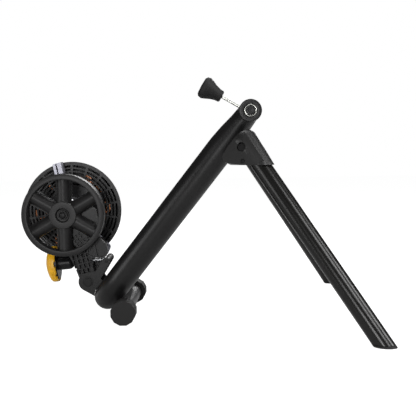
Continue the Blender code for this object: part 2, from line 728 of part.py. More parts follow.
def knuckle(side, word, parent):
    """The moulded gusset: a flat cheek outside the pivot, a heel that stops the leg, and the leg's socket."""
    frame = LEG_FRAMES[side]
    basis = leg_axis_basis(side)
    top = -KNUCKLE_HEAD_END
    cone = lathe(((0, top), (KNUCKLE_TOP_RADIUS - KNUCKLE_HEAD_EDGE, top),
                  (KNUCKLE_TOP_RADIUS, top + KNUCKLE_HEAD_EDGE * 2), (KNUCKLE_END_RADIUS, KNUCKLE_SOCKET_END),
                  (0, KNUCKLE_SOCKET_END)), ROUND)
    body = part(word + "_leg_knuckle", cone, basis, MOULDED_BLACK, parent)
    reach = KNUCKLE_TOP_RADIUS * 2
    relief = box(-reach, KNUCKLE_SOCKET_START, -reach, reach, CHEEK_INNER - SIDE_PLAY, reach)
    cut(body, tool(word + "_lug_relief", relief, frame))
    cheek = prism(CHEEK_OUTLINE, -CHEEK_OUTER, CHEEK_INNER)
    fuse(body, tool(word + "_cheek", cheek, frame))
    front = -LUG_RADIUS - STOP_GAP
    heel = box(HEEL_START, HEEL_START + HEEL_LENGTH, front - HEEL_WIDTH, front,
               CHEEK_INNER - HEEL_DEPTH, HEEL_DEPTH)
    fuse(body, tool(word + "_heel", heel, frame))
    hole = PIVOT_BOLT_RADIUS + GAP
    floor = -CHEEK_OUTER + PIVOT_RECESS_DEPTH
    stepped = lathe(((0, -reach), (PIVOT_RECESS_RADIUS, -reach), (PIVOT_RECESS_RADIUS, floor), (hole, floor),
                     (hole, reach), (0, reach)), SMALL_ROUND)
    cut(body, tool(word + "_pivot_hole", stepped, frame))
    along, over = KNUCKLE_SCREW_PLACE
    place = frame.moved(along, over, 0)
    screw_hole = rod(KNUCKLE_SCREW_RADIUS + GAP, -reach, -CHEEK_OUTER + KNUCKLE_SCREW_DEPTH + GAP)
    cut(body, tool(word + "_screw_hole", screw_hole, place))
    socket = rod(LEG_RADIUS + GAP, KNUCKLE_SOCKET_START + GAP, KNUCKLE_SOCKET_END * 2, ROUND)
    cut(body, tool(word + "_leg_socket", socket, basis))
    cut(body, tool(word + "_knuckle_mouth", below_plane(LEG_TOP_Z - KNUCKLE_MOUTH_DROP), WORLD))
    screw = rod(KNUCKLE_SCREW_RADIUS, -CHEEK_OUTER + SIDE_PLAY, -CHEEK_OUTER + KNUCKLE_SCREW_DEPTH)
    part(word + "_knuckle_screw", screw, place, ZINC_STEEL, parent)


def hinge_lug(side, word, envelope):
    """Welded under the main tube; the pivot bolt goes through it, and its flat front stops the heel."""
    frame = LEG_FRAMES[side]
    inner = CHEEK_INNER + GAP
    outline = [(LUG_TOP, -LUG_RADIUS)] + arc((0, 0), LUG_RADIUS, -90, 90, 10) + [(LUG_TOP, LUG_RADIUS)]
    lug = part(word + "_hinge_lug", prism(outline, inner, inner + LUG_THICKNESS), frame, POWDER_BLACK)
    half = LUG_RADIUS - SIDE_PLAY
    block = box(LUG_BLOCK_TOP, LUG_BLOCK_LOW, -half, half, inner + LUG_THICKNESS / 2, LUG_BLOCK_DEPTH)
    fuse(lug, tool(word + "_lug_block", block, frame))
    hole = rod(PIVOT_BOLT_RADIUS + GAP, -LUG_RADIUS, LUG_RADIUS * 2)
    cut(lug, tool(word + "_lug_hole", hole, frame), envelope)


def pivot_bolt(side, word):
    """Head in the knuckle's recess, shank through the lug, nut behind it; one node for bolt and nut."""
    frame = LEG_FRAMES[side]
    seat = -CHEEK_OUTER + PIVOT_RECESS_DEPTH - GAP
    lug_back = CHEEK_INNER + GAP + LUG_THICKNESS
    nut_start = lug_back + GAP
    nut_end = nut_start + PIVOT_NUT_LENGTH
    tip = nut_end + GAP * 2
    bolt = lathe(((0, seat - PIVOT_HEAD_LENGTH), (PIVOT_HEAD_RADIUS, seat - PIVOT_HEAD_LENGTH),
                  (PIVOT_HEAD_RADIUS, seat), (PIVOT_BOLT_RADIUS, seat), (PIVOT_BOLT_RADIUS, tip), (0, tip)),
                 SMALL_ROUND)
    part(word + "_pivot_bolt", bolt, frame, ZINC_STEEL)
    hex_nut(word + "_pivot_nut", PIVOT_NUT_RADIUS, PIVOT_BOLT_RADIUS + GAP, nut_start, nut_end, frame)


def folding_legs(envelope):
    for side, word in ((LEFT, "left"), (RIGHT, "right")):
        parent = axis_empty(word + "_leg_pivot", LEG_FRAMES[side].origin)
        leg(side, word, parent)
        knuckle(side, word, parent)
        hinge_lug(side, word, envelope)
        pivot_bolt(side, word)


# Rear foot bar
FOOT_BAR = across(FOOT_BAR_X, FOOT_CAP_APOTHEM)


def rear_foot(envelope):
    reach = FOOT_SPREAD - FOOT_CAP_END - GAP
    bar = ring(FOOT_BAR_RADIUS - FOOT_BAR_WALL, FOOT_BAR_RADIUS, -reach, reach)
    part("rear_foot_bar", bar, FOOT_BAR, POWDER_BLACK)
    corner = FOOT_CAP_APOTHEM / math.cos(math.pi / FOOT_CAP_SIDES)
    half_side = math.pi / FOOT_CAP_SIDES
    for side, word in ((LEFT, "left"), (RIGHT, "right")):
        basis = across(FOOT_BAR_X, FOOT_CAP_APOTHEM, side)
        start = FOOT_SPREAD - FOOT_CAP_LENGTH
        cap = part(word + "_rear_cap", prism(polygon(FOOT_CAP_SIDES, corner, half_side), start, FOOT_SPREAD),
                   basis, RUBBER_BLACK)
        bore = rod(FOOT_BAR_RADIUS + GAP, 0, FOOT_SPREAD - FOOT_CAP_END, ROUND)
        cut(cap, tool(word + "_cap_bore", bore, basis))
    to_crossbar = Vector((CROSSBAR_X - FOOT_BAR_X, 0, CROSSBAR_Z - FOOT_CAP_APOTHEM))
    along = to_crossbar.normalized()
    basis = Basis(FOOT_BAR.origin, along, AXIS_Y, along.cross(AXIS_Y))
    half = SADDLE_LENGTH / 2
    block = box(0, to_crossbar.length, -half, half, -SADDLE_WIDTH / 2, SADDLE_WIDTH / 2)
    saddle = part("foot_bar_saddle", block, basis, POWDER_BLACK)
    cope = rod(FOOT_BAR_RADIUS + GAP, -FOOT_SPREAD, FOOT_SPREAD, ROUND)
    cut(saddle, tool("saddle_bar_cope", cope, FOOT_BAR), envelope)


# Pivot bracket
PIVOT = (PIVOT_X, PIVOT_Z)
TRUNNION = (TRUNNION_X, TRUNNION_Z)


def bracket_outline():
    """Round at the pivot, an arm with a round end at the trunnion, and a foot that runs into the tube."""
    along = heading(PIVOT, TRUNNION)
    weld = heading(PIVOT, PLATE_WELD_LOW)
    points = arc(PIVOT, PLATE_ROUND, along + 75, 360 + weld - 55, 12)
    points += [PLATE_WELD_LOW, PLATE_WELD_IN, PLATE_WELD_HIGH, PLATE_WAIST]
    points += arc(TRUNNION, PLATE_ARM_ROUND, along - 80, along + 100, 8) + [PLATE_NECK]
    return relative(points, PIVOT)


def pivot_bracket(envelope):
    for side, word in ((LEFT, "left"), (RIGHT, "right")):
        basis = across(PIVOT_X, PIVOT_Z, side)
        sheet = prism(bracket_outline(), PLATE_INNER, PLATE_INNER + PLATE_THICKNESS)
        plate = part(word + "_bracket_plate", sheet, basis, POWDER_BLACK)
        hole = rod(YOKE_BOLT_RADIUS + GAP, 0, PLATE_INNER * 2)
        cut(plate, tool(word + "_plate_bolt_hole", hole, basis))
        pin_hole = rod(TRUNNION_RADIUS / 2 + GAP, 0, PLATE_INNER * 2)
        cut(plate, tool(word + "_plate_pin_hole", pin_hole, across(TRUNNION_X, TRUNNION_Z, side)), envelope)
    outer = PLATE_INNER + PLATE_THICKNESS + GAP
    nut_end = outer + YOKE_NUT_LENGTH
    flange = -outer - YOKE_BOLT_FLANGE_THICKNESS
    tip = nut_end + SIDE_PLAY
    bolt = lathe(((0, flange), (YOKE_BOLT_FLANGE, flange), (YOKE_BOLT_FLANGE, -outer), (YOKE_BOLT_RADIUS, -outer),
                  (YOKE_BOLT_RADIUS, tip), (0, tip)))
    made = part("yoke_pivot_bolt", bolt, across(PIVOT_X, PIVOT_Z), ZINC_STEEL)
    head = prism(polygon(6, YOKE_BOLT_HEAD), -outer - YOKE_BOLT_HEAD_LENGTH,
                 -outer - YOKE_BOLT_FLANGE_THICKNESS / 2)
    fuse(made, tool("yoke_bolt_head", head, across(PIVOT_X, PIVOT_Z)))
    hex_nut("yoke_pivot_nut", YOKE_BOLT_HEAD, YOKE_BOLT_RADIUS + GAP, outer, nut_end,
            across(PIVOT_X, PIVOT_Z))


# Yoke
YOKE_HALF = PLATE_INNER - SIDE_PLAY
UNIT = (UNIT_X, UNIT_Z)
ROD_ANGLE = math.radians(ROD_DROP_ANGLE)
ROD_OUT = Vector((-math.cos(ROD_ANGLE), 0, -math.sin(ROD_ANGLE)))
ROD_BASIS = Basis((TRUNNION_X, 0, TRUNNION_Z), AXIS_Y, AXIS_Y.cross(ROD_OUT) * -1, ROD_OUT)


def yoke_outline():
    """The strut between the pivot boss and the bridge below the roller."""
    left = heading(PIVOT, YOKE_OUTLINE[0])
    right = heading(PIVOT, YOKE_OUTLINE[-1])
    points = list(YOKE_OUTLINE)
    points += arc(PIVOT, YOKE_BOSS_RADIUS, right - 75, left - 360 + 75, 12)
    return relative(points, PIVOT)


def arm_outline(lobe, hub_radius):
    """The hub's round and the lobe that runs down to the bridge."""
    first = heading(UNIT, lobe[0])
    last = heading(UNIT, lobe[-1])
    points = list(lobe) + arc(UNIT, hub_radius, last + 70, first + 360 - 60, 16)
    return relative(points, UNIT)


def yoke(parent):
    pivot = across(PIVOT_X, PIVOT_Z)
    unit = across(UNIT_X, UNIT_Z)
    body = part("yoke", prism(yoke_outline(), -YOKE_HALF, YOKE_HALF), pivot, MOULDED_BLACK, parent)
    arm = prism(arm_outline(ARM_LOBE, HUB_RADIUS), NEAR_ARM_FACE, NEAR_ARM_FACE + ARM_THICKNESS)
    fuse(body, tool("yoke_near_arm", arm, unit))
    bridge = prism(relative(BRIDGE, UNIT), NEAR_ARM_FACE + BRIDGE_SETBACK, FAR_ARM_FACE - GAP)
    fuse(body, tool("yoke_bridge", bridge, unit))
    web = prism(relative(YOKE_WEB, PIVOT), WEB_NEAR_FACE, YOKE_HALF - WEB_INSET)
    fuse(body, tool("yoke_web", web, pivot))
    fuse(body, tool("rod_seat", rod(SEAT_RADIUS, SEAT_DISTANCE / 2, SEAT_DISTANCE, ROUND), ROD_BASIS))
    slot = box(-SEAT_SLOT_HALF_WIDTH, SEAT_SLOT_HALF_WIDTH, -SEAT_SLOT_HALF_HEIGHT, SEAT_SLOT_HALF_HEIGHT,
               -SEAT_DISTANCE / 4, SEAT_DISTANCE * 2)
    cut(body, tool("rod_slot", slot, ROD_BASIS))
    bore = YOKE_BOLT_RADIUS + GAP + BUSH_WALL + GAP
    cut(body, tool("yoke_bush_bore", rod(bore, -YOKE_HALF * 2, YOKE_HALF * 2, ROUND), pivot))
    bearing_bore = rod(BEARING_RADIUS + GAP, NEAR_ARM_FACE * 2, 0, ROUND)
    cut(body, tool("near_bearing_bore", bearing_bore, unit))
    for cutter in yoke_pockets() + arm_pockets():
        cut(body, cutter)
    for number, (x, z) in enumerate(ARM_SCREW_PLACES):
        hole = rod(ARM_SCREW_RADIUS + GAP, FAR_ARM_FACE - ARM_SCREW_LENGTH, FAR_ARM_FACE * 2, SMALL_ROUND)
        cut(body, tool(f"yoke_screw_hole_{number}", hole, across(x, z)))
    bush = ring(YOKE_BOLT_RADIUS + GAP, YOKE_BOLT_RADIUS + GAP + BUSH_WALL, -YOKE_HALF, YOKE_HALF)
    part("yoke_pivot_bush", bush, pivot, ZINC_STEEL, parent)


def leaning_basis(place, lean):
    """On a point of the near side, with v up and to the left by an angle, and w outwards."""
    angle = math.radians(lean)
    up = Vector((-math.sin(angle), 0, math.cos(angle)))
    return Basis((place[0], 0, place[1]), AXIS_Y.cross(up), up, AXIS_Y * LEFT)


def yoke_pockets():
    """Pockets in rows up the strut's near face, which widens from the pivot to the bridge."""
    basis = leaning_basis(PIVOT, POCKET_LEAN)
    made = []
    for row in range(POCKET_ROWS):
        columns = POCKET_COLUMNS if row > 0 else POCKET_COLUMNS - 1
        low = POCKET_FIRST_ROW + POCKET_ROW_PITCH * row - POCKET_HEIGHT / 2
        for column in range(columns):
            left = POCKET_SHIFT + POCKET_PITCH * (column - (columns - 1) / 2) - POCKET_WIDTH / 2
            shape = box(left, left + POCKET_WIDTH, low, low + POCKET_HEIGHT, YOKE_HALF - POCKET_DEPTH,
                        YOKE_HALF * 2)
            made.append(tool(f"pocket_{row}_{column}", shape, basis))
    return made


def arm_pockets():
    """Two long recesses beside the near arm's rib, and a small lattice above them."""
    floor = -NEAR_ARM_FACE - ARM_POCKET_DEPTH
    reach = -NEAR_ARM_FACE * 2
    made = []
    for number, outline in enumerate(ARM_POCKETS):
        shape = prism(relative(outline, UNIT), floor, reach)
        made.append(tool(f"arm_pocket_{number}", shape, across(UNIT_X, UNIT_Z, LEFT)))
    basis = leaning_basis(LATTICE_CENTRE, LATTICE_LEAN)
    half = LATTICE_SIZE / 2
    middle = (LATTICE_SIDE - 1) / 2
    for row in range(LATTICE_SIDE):
        for column in range(LATTICE_SIDE):
            x = LATTICE_PITCH * (column - middle)
            z = LATTICE_PITCH * (row - middle)
            shape = box(x - half, x + half, z - half, z + half, floor, reach)
            made.append(tool(f"lattice_{row}_{column}", shape, basis))
    return made


def block_basis():
    angle = math.radians(BLOCK_ANGLE)
    out = Vector((math.cos(angle), 0, math.sin(angle)))
    return Basis((UNIT_X, 0, UNIT_Z), AXIS_Y.cross(out), out, AXIS_Y)


def far_arm(parent):
    """The silver arm: hub, lobe bolted to the yoke, and a mast with a ribbed block at the cage's rim."""
    unit = across(UNIT_X, UNIT_Z)
    back = FAR_ARM_FACE + FAR_ARM_THICKNESS
    sheet = prism(arm_outline(FAR_LOBE, HUB_RADIUS), FAR_ARM_FACE, back)
    arm = part("far_arm", sheet, unit, ALUMINIUM, parent)
    basis = block_basis()
    half = MAST_WIDTH / 2
    inset = SIDE_PLAY / 2
    mast = box(MAST_OFFSET - half, MAST_OFFSET + half, 0, MAST_TOP, FAR_ARM_FACE + inset, back - inset)
    fuse(arm, tool("far_arm_mast", mast, unit))
    first = 90 - math.degrees(math.asin(BLOCK_RIGHT / BLOCK_OUTER))
    last = 90 - math.degrees(math.asin(BLOCK_LEFT / BLOCK_OUTER))
    outline = arc((0, 0), BLOCK_OUTER, first, last, 6) + [(BLOCK_LEFT, BLOCK_INNER), (BLOCK_RIGHT, BLOCK_INNER)]
    fuse(arm, tool("far_arm_block", prism(outline, back - BLOCK_DEPTH, back), basis))
    for number, (left, right) in enumerate(BLOCK_GROOVES):
        groove = box(left, right, BLOCK_INNER / 2, BLOCK_OUTER * 2, back - BLOCK_DEPTH * 2,
                     back - BLOCK_DEPTH + BLOCK_GROOVE_DEPTH)
        cut(arm, tool(f"block_groove_{number}", groove, basis))
    cut(arm, tool("far_bearing_bore", rod(BEARING_RADIUS + GAP, 0, back * 2, ROUND), unit))
    seat = back - ARM_SCREW_HEAD_LENGTH - GAP
    shank = ARM_SCREW_RADIUS + GAP
    head = ARM_SCREW_HEAD + GAP
    for number, (x, z) in enumerate(ARM_SCREW_PLACES):
        profile = ((0, 0), (shank, 0), (shank, seat), (head, seat), (head, back * 2), (0, back * 2))
        hole = lathe(profile, SMALL_ROUND)
        cut(arm, tool(f"far_arm_screw_hole_{number}", hole, across(x, z)))


def arm_screws(parent):
    """Three screws through the far arm into the yoke, their heads sunk in the arm."""
    back = FAR_ARM_FACE + FAR_ARM_THICKNESS
    seat = back - ARM_SCREW_HEAD_LENGTH
    tip = FAR_ARM_FACE - ARM_SCREW_LENGTH + GAP
    for number, (x, z) in enumerate(ARM_SCREW_PLACES):
        screw = lathe(((0, tip), (ARM_SCREW_RADIUS, tip), (ARM_SCREW_RADIUS, seat), (ARM_SCREW_HEAD, seat),
                       (ARM_SCREW_HEAD, back), (0, back)), SMALL_ROUND)
        part(f"far_arm_screw_{number + 1}", screw, across(x, z), ZINC_STEEL, parent)


def add_moved(target, source, offset):
    """Copies one mesh into another at an offset, and frees it."""
    copies = [target.verts.new(v.co + Vector(offset)) for v in source.verts]
    source.verts.index_update()
    for face in source.faces:
        target.faces.new([copies[v.index] for v in face.verts])
    source.free()


# Turning group
def turning_group(parent):
    unit = across(UNIT_X, UNIT_Z)
    edge = ROLLER_RADIUS - ROLLER_EDGE
    bore = SHAFT_RADIUS + GAP
    half = ROLLER_HALF_LENGTH
    roller = lathe(((bore, -half), (edge, -half), (ROLLER_RADIUS, -half + ROLLER_EDGE),
                    (ROLLER_RADIUS, half - ROLLER_EDGE), (edge, half), (bore, half)), FINE_ROUND, closed=True)
    part("roller", roller, unit, ALUMINIUM, parent)
    part("shaft", rod(SHAFT_RADIUS, SHAFT_NEAR_END, SHAFT_FAR_END), unit, ZINC_STEEL, parent)
    flywheel(parent)
    rotor(parent)


def flywheel(parent):
    unit = across(UNIT_X, UNIT_Z)
    rim = ring(FLY_RIM_INNER, FLY_RADIUS, FLY_NEAR_FACE, FLY_FAR_FACE, FINE_ROUND)
    body = part("flywheel", rim, unit, CAST_IRON, parent)
    bore = SHAFT_RADIUS + GAP
    recess = FLY_HUB_FACE + FLY_RECESS_DEPTH
    profile = ((bore, FLY_FAR_FACE), (FLY_HUB_RADIUS, FLY_FAR_FACE), (FLY_HUB_RADIUS, FLY_HUB_FACE),
               (FLY_RECESS_RADIUS, FLY_HUB_FACE), (FLY_RECESS_RADIUS, recess), (bore, recess))
    hub = lathe(profile, ROUND, closed=True)
    hub_tool = tool("flywheel_hub", hub, unit)
    middle = (FLY_RIM_INNER + FLY_RADIUS) / 2
    for number in range(FLY_SPOKES):
        angle = math.radians(90 + 360 / FLY_SPOKES * number)
        out = Vector((math.cos(angle), 0, math.sin(angle)))
        basis = Basis((UNIT_X, FLY_SPOKE_BACK, UNIT_Z), AXIS_Y.cross(out), AXIS_Y * LEFT, out)
        outline = [(FLY_SPOKE_WIDTH / 2 * math.cos(a), FLY_SPOKE_DEPTH * math.sin(a))
                   for a in (math.pi * k / SPOKE_STEPS for k in range(SPOKE_STEPS + 1))]
        spoke = prism(outline, (FLY_RECESS_RADIUS + FLY_HUB_RADIUS) / 2, middle)
        fuse(body, tool(f"spoke_{number}", spoke, basis))
    fuse(body, hub_tool)
    start = recess - GAP
    hex_nut("flywheel_nut", FLY_NUT_RADIUS, bore, FLY_HUB_FACE, start, unit, parent)


def rotor(parent):
    unit = across(UNIT_X, UNIT_Z)
    bore = SHAFT_RADIUS + GAP
    back = ROTOR_NEAR_FACE + ROTOR_THICKNESS
    disc = lathe(((bore, ROTOR_NEAR_FACE), (ROTOR_RADIUS, ROTOR_NEAR_FACE), (ROTOR_RADIUS, back),
                  (ROTOR_HUB_RADIUS, back), (ROTOR_HUB_RADIUS, ROTOR_NEAR_FACE + ROTOR_HUB_LENGTH),
                  (bore, ROTOR_NEAR_FACE + ROTOR_HUB_LENGTH)), FINE_ROUND, closed=True)
    body = part("brake_rotor", disc, unit, ZINC_STEEL, parent)
    half = FAN_BLADE_WIDTH / 2
    blades = bmesh.new()
    for number in range(FAN_BLADES):
        angle = 2 * math.pi * number / FAN_BLADES
        blade = box(FAN_BLADE_INNER, FAN_BLADE_OUTER, -half, half, (ROTOR_NEAR_FACE + back) / 2,
                    back + FAN_BLADE_HEIGHT)
        bmesh.ops.rotate(blade, verts=blade.verts, cent=(0, 0, 0), matrix=Matrix.Rotation(angle, 3, "Z"))
        add_moved(blades, blade, (0, 0, 0))
    fuse(body, tool("fan_blades", blades, unit))


def bearings(parent):
    """Two bearings, each a plain ring here, between the arms and the shaft."""
    unit = across(UNIT_X, UNIT_Z)
    near = ring(SHAFT_RADIUS + GAP, BEARING_RADIUS, NEAR_ARM_FACE, NEAR_ARM_FACE + ARM_THICKNESS)
    part("near_bearing", near, unit, ZINC_STEEL, parent)
    far = ring(SHAFT_RADIUS + GAP, BEARING_RADIUS, FAR_ARM_FACE, FAR_ARM_FACE + FAR_ARM_THICKNESS)
    part("far_bearing", far, unit, ZINC_STEEL, parent)


# Stator
def around(count, circle, first_angle, make):
    """One copy of a shape at each place round a circle, as one mesh."""
    shapes = bmesh.new()
    for number in range(count):
        angle = math.radians(first_angle + 360 / count * number)
        add_moved(shapes, make(), (circle * math.cos(angle), circle * math.sin(angle), 0))
    return shapes


def around_coils(make):
    return around(COIL_COUNT, COIL_PITCH_RADIUS, COIL_FIRST_ANGLE, make)


def stator(parent):
    """A ring on standoffs with six cores through it, and six coils that one lead joins in series."""
    unit = across(UNIT_X, UNIT_Z)
    back = STATOR_RING_FACE + STATOR_RING_THICKNESS
    plate = ring(STATOR_RING_INNER, STATOR_RING_OUTER, STATOR_RING_FACE, back, FINE_ROUND)
    body = part("stator_ring", plate, unit, SATIN_BLACK, parent)
    coil_end = STATOR_RING_FACE - GAP
    coil_start = coil_end - COIL_LENGTH
    cores = around_coils(lambda: rod(CORE_RADIUS, coil_start - GAP, back + CORE_PROUD))
    fuse(body, tool("stator_cores", cores, unit))
    seat = CAGE_FRONT_FACE + CAGE_FRONT_THICKNESS + GAP
    pillars = around(STANDOFFS, STANDOFF_CIRCLE, STANDOFF_FIRST_ANGLE,
                     lambda: rod(STANDOFF_RADIUS, seat, back - STATOR_RING_THICKNESS / 2))
    fuse(body, tool("stator_standoffs", pillars, unit))
    lead = ring(COIL_PITCH_RADIUS - COIL_LEAD, COIL_PITCH_RADIUS + COIL_LEAD,
                coil_end - COIL_LEAD * 2, coil_end)
    winding = part("coil_winding", lead, unit, COPPER, parent)
    fuse(winding, tool("coil_bodies", around_coils(lambda: rod(COIL_RADIUS, coil_start, coil_end)), unit))
    bores = around_coils(lambda: rod(CORE_RADIUS + GAP, 0, coil_end * 2))
    cut(winding, tool("coil_bores", bores, unit))


# Cage
def sector_angles(rib):
    """Where each rib starts and ends; the first rib is at the top."""
    sector = 2 * math.pi / CAGE_SECTORS
    angles = []
    for number in range(CAGE_SECTORS):
        base = sector * number + math.pi / 2 - rib / 2
        angles += [base, base + rib]
    return angles


def slotted_disc(inner, outer, start, end, slots):
    """A disc with rows of slots between its ribs; slots are pairs of outer and inner radius."""
    angles = sector_angles(math.radians(CAGE_RIB_ANGLE))
    radii = [outer] + [radius for slot in slots for radius in slot] + [inner]
    faces = [[[(r * math.cos(a), r * math.sin(a), z) for a in angles] for r in radii] for z in (start, end)]
    return slotted_grid(*faces)


def slotted_grid(first, second):
    """Two sheets of points, row by row round the axis, joined into a solid with a slot in every other row."""
    bm = bmesh.new()
    low = [[bm.verts.new(p) for p in row] for row in first]
    high = [[bm.verts.new(p) for p in row] for row in second]
    rows = len(low) - 1
    count = len(low[0])

    def solid(row, cell):
        return 0 <= row < rows and (row % 2 == 0 or cell % 2 == 0)

    for row in range(rows):
        for cell in range(count):
            if not solid(row, cell):
                continue
            after = (cell + 1) % count
            corners = ((row, cell), (row, after), (row + 1, after), (row + 1, cell))
            bm.faces.new([low[r][c] for r, c in corners])
            bm.faces.new([high[r][c] for r, c in corners])
            beside = (solid(row - 1, cell), solid(row, after), solid(row + 1, cell), solid(row, cell - 1))
            for number, joined in enumerate(beside):
                if joined:
                    continue
                (r0, c0), (r1, c1) = corners[number], corners[(number + 1) % len(corners)]
                bm.faces.new((low[r0][c0], low[r1][c1], high[r1][c1], high[r0][c0]))
    bmesh.ops.delete(bm, geom=[v for v in bm.verts if not v.link_faces], context="VERTS")
    return bm


def cage_band(start, end):
    """The drum's wall, which narrows to the back, with one slot along it in each sector."""
    angles = sector_angles(math.pi / CAGE_SECTORS)
    heights = (start, start + BAND_SLOT_MARGIN, end - BAND_SLOT_MARGIN, end)
    taper = (CAGE_BACK_RADIUS - CAGE_BAND_RADIUS) / (end - start)

    def sheet(inset):
        radii = [CAGE_BAND_RADIUS - inset + taper * (z - start) for z in heights]
        return [[(r * math.cos(a), r * math.sin(a), z) for a in angles] for r, z in zip(radii, heights)]

    return slotted_grid(sheet(0), sheet(CAGE_BAND_WALL))


def cage(parent):
    unit = across(UNIT_X, UNIT_Z)
    front_back = CAGE_FRONT_FACE + CAGE_FRONT_THICKNESS
    slots = [(SLOT_OUTER - SLOT_PITCH * row, SLOT_OUTER - SLOT_PITCH * row - SLOT_WIDTH)
             for row in range(FRONT_SLOT_ROWS)]
    front = slotted_disc(CAGE_INNER, CAGE_RADIUS, CAGE_FRONT_FACE, front_back, slots)
    part("cage_front", front, unit, MOULDED_BLACK, parent)
    back_start = CAGE_BACK_FACE - CAGE_BACK_THICKNESS
    part("cage_band", cage_band(front_back + GAP, back_start - GAP), unit, MOULDED_BLACK, parent)
    back = slotted_disc(CAGE_BACK_INNER, CAGE_BACK_RADIUS, back_start, CAGE_BACK_FACE, BACK_SLOTS)
    part("cage_back", back, unit, MOULDED_BLACK, parent)


# Tension rod
def tension(rod_parent, sleeve_parent, knob_parent):
    trunnion = across(TRUNNION_X, TRUNNION_Z)
    half = PLATE_INNER - SIDE_PLAY
    pin = TRUNNION_RADIUS / 2
    end = PLATE_INNER + PLATE_THICKNESS
    profile = ((0, -end), (pin, -end), (pin, -half), (TRUNNION_RADIUS, -half), (TRUNNION_RADIUS, half),
               (pin, half), (pin, end), (0, end))
    bore = ROD_RADIUS + GAP
    nose = arc((0, 0), THRUST_RADIUS, THRUST_NOSE_ANGLE - 90, 0, 6)
    tip = SEAT_DISTANCE + GAP
    nose = [(radius, tip + height - nose[0][1]) for radius, height in nose]
    thrust_end = SEAT_DISTANCE + GAP + THRUST_LENGTH
    flange = thrust_end - THRUST_FLANGE_LENGTH
    outline = [(bore, tip)] + nose + [(THRUST_RADIUS, flange), (THRUST_FLANGE_RADIUS, flange),
                                      (THRUST_FLANGE_RADIUS, thrust_end), (bore, thrust_end)]
    part("thrust_sleeve", lathe(outline, ROUND, closed=True), ROD_BASIS, MOULDED_BLACK, sleeve_parent)
    floor = thrust_end + GAP
    knob_start = floor - TENSION_KNOB_CAVITY
    knob_end = knob_start + TENSION_KNOB_LENGTH
    knob = tension_knob(knob_start, knob_end)
    made = part("tension_knob", knob, ROD_BASIS, YELLOW, knob_parent)
    cut(made, tool("tension_knob_bore", rod(bore, 0, knob_end - TENSION_KNOB_FLOOR), ROD_BASIS))
    cavity = rod(THRUST_FLANGE_RADIUS + SIDE_PLAY, 0, floor, FINE_ROUND)
    cut(made, tool("tension_knob_cavity", cavity, ROD_BASIS))
    cut(made, tool("tension_knob_notches", knob_notches(knob_start), ROD_BASIS))
    body = part("tension_rod", lathe(profile, SMALL_ROUND), trunnion, ZINC_STEEL, rod_parent)
    fuse(body, tool("tension_rod_shank", rod(ROD_RADIUS, 0, knob_start + ROD_REACH_IN_KNOB), ROD_BASIS))


def tension_knob(start, end):
    """A round hand knob with shallow flutes and a domed outer face."""
    count = TENSION_KNOB_LOBES * 4
    turn = math.radians(TENSION_KNOB_LOBE_ANGLE)

    def loop(scale, height):
        points = []
        for k in range(count):
            angle = 2 * math.pi * k / count
            radius = TENSION_KNOB_RADIUS - TENSION_KNOB_FLUTE * (1 - math.cos(angle * TENSION_KNOB_LOBES)) / 2
            angle += turn
            points.append((radius * scale * math.cos(angle), radius * scale * math.sin(angle), height))
        return points

    return loft([loop(out, start + (end - start) * along) for out, along in TENSION_KNOB_SIDE])


def knob_notches(start):
    """Shallow notches in the knob's back edge, one between each two lobes."""
    half = TENSION_KNOB_NOTCH_WIDTH / 2
    floor = start + TENSION_KNOB_NOTCH_DEPTH
    notches = bmesh.new()
    for number in range(TENSION_KNOB_LOBES):
        angle = math.radians(TENSION_KNOB_LOBE_ANGLE + 360 / TENSION_KNOB_LOBES * (number + 0.5))
        notch = box(THRUST_FLANGE_RADIUS, TENSION_KNOB_RADIUS * 2, -half, half, 0, floor)
        bmesh.ops.rotate(notch, verts=notch.verts, cent=(0, 0, 0), matrix=Matrix.Rotation(angle, 3, "Z"))
        add_moved(notches, notch, (0, 0, 0))
    return notches


def build():
    envelope = tube_envelope("tube_envelope")
    main_tube()
    clamp_sleeves()
    left_clamp()
    right_clamp()
    folding_legs(envelope)
    rear_foot(envelope)
    pivot_bracket(envelope)
    unit_pivot = axis_empty("unit_pivot", (PIVOT_X, 0, PIVOT_Z))
    unit_axis = axis_empty("unit_axis", (UNIT_X, 0, UNIT_Z))
    yoke(unit_pivot)
    far_arm(unit_pivot)
    arm_screws(unit_pivot)
    bearings(unit_pivot)
    stator(unit_pivot)
    cage(unit_pivot)
    turning_group(unit_axis)
    rod_axis = axis_empty("rod_axis", (TRUNNION_X, 0, TRUNNION_Z))
    tension(rod_axis, rod_axis, rod_axis)


build()
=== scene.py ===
# %% [markdown]
# # A wheel-on bike trainer
# A folding stand holds the rear wheel of a bicycle by its axle and presses a roller on the tyre. The packed
# model brings every solid at its real size and place. This lesson dresses those solids: it softens their edges,
# rebuilds the round and repeated forms with more detail, and gives each its own finish. Lengths are in metres.

# %% The frame and its box
import math

import bmesh
import bpy
from mathutils import Matrix, Vector, geometry


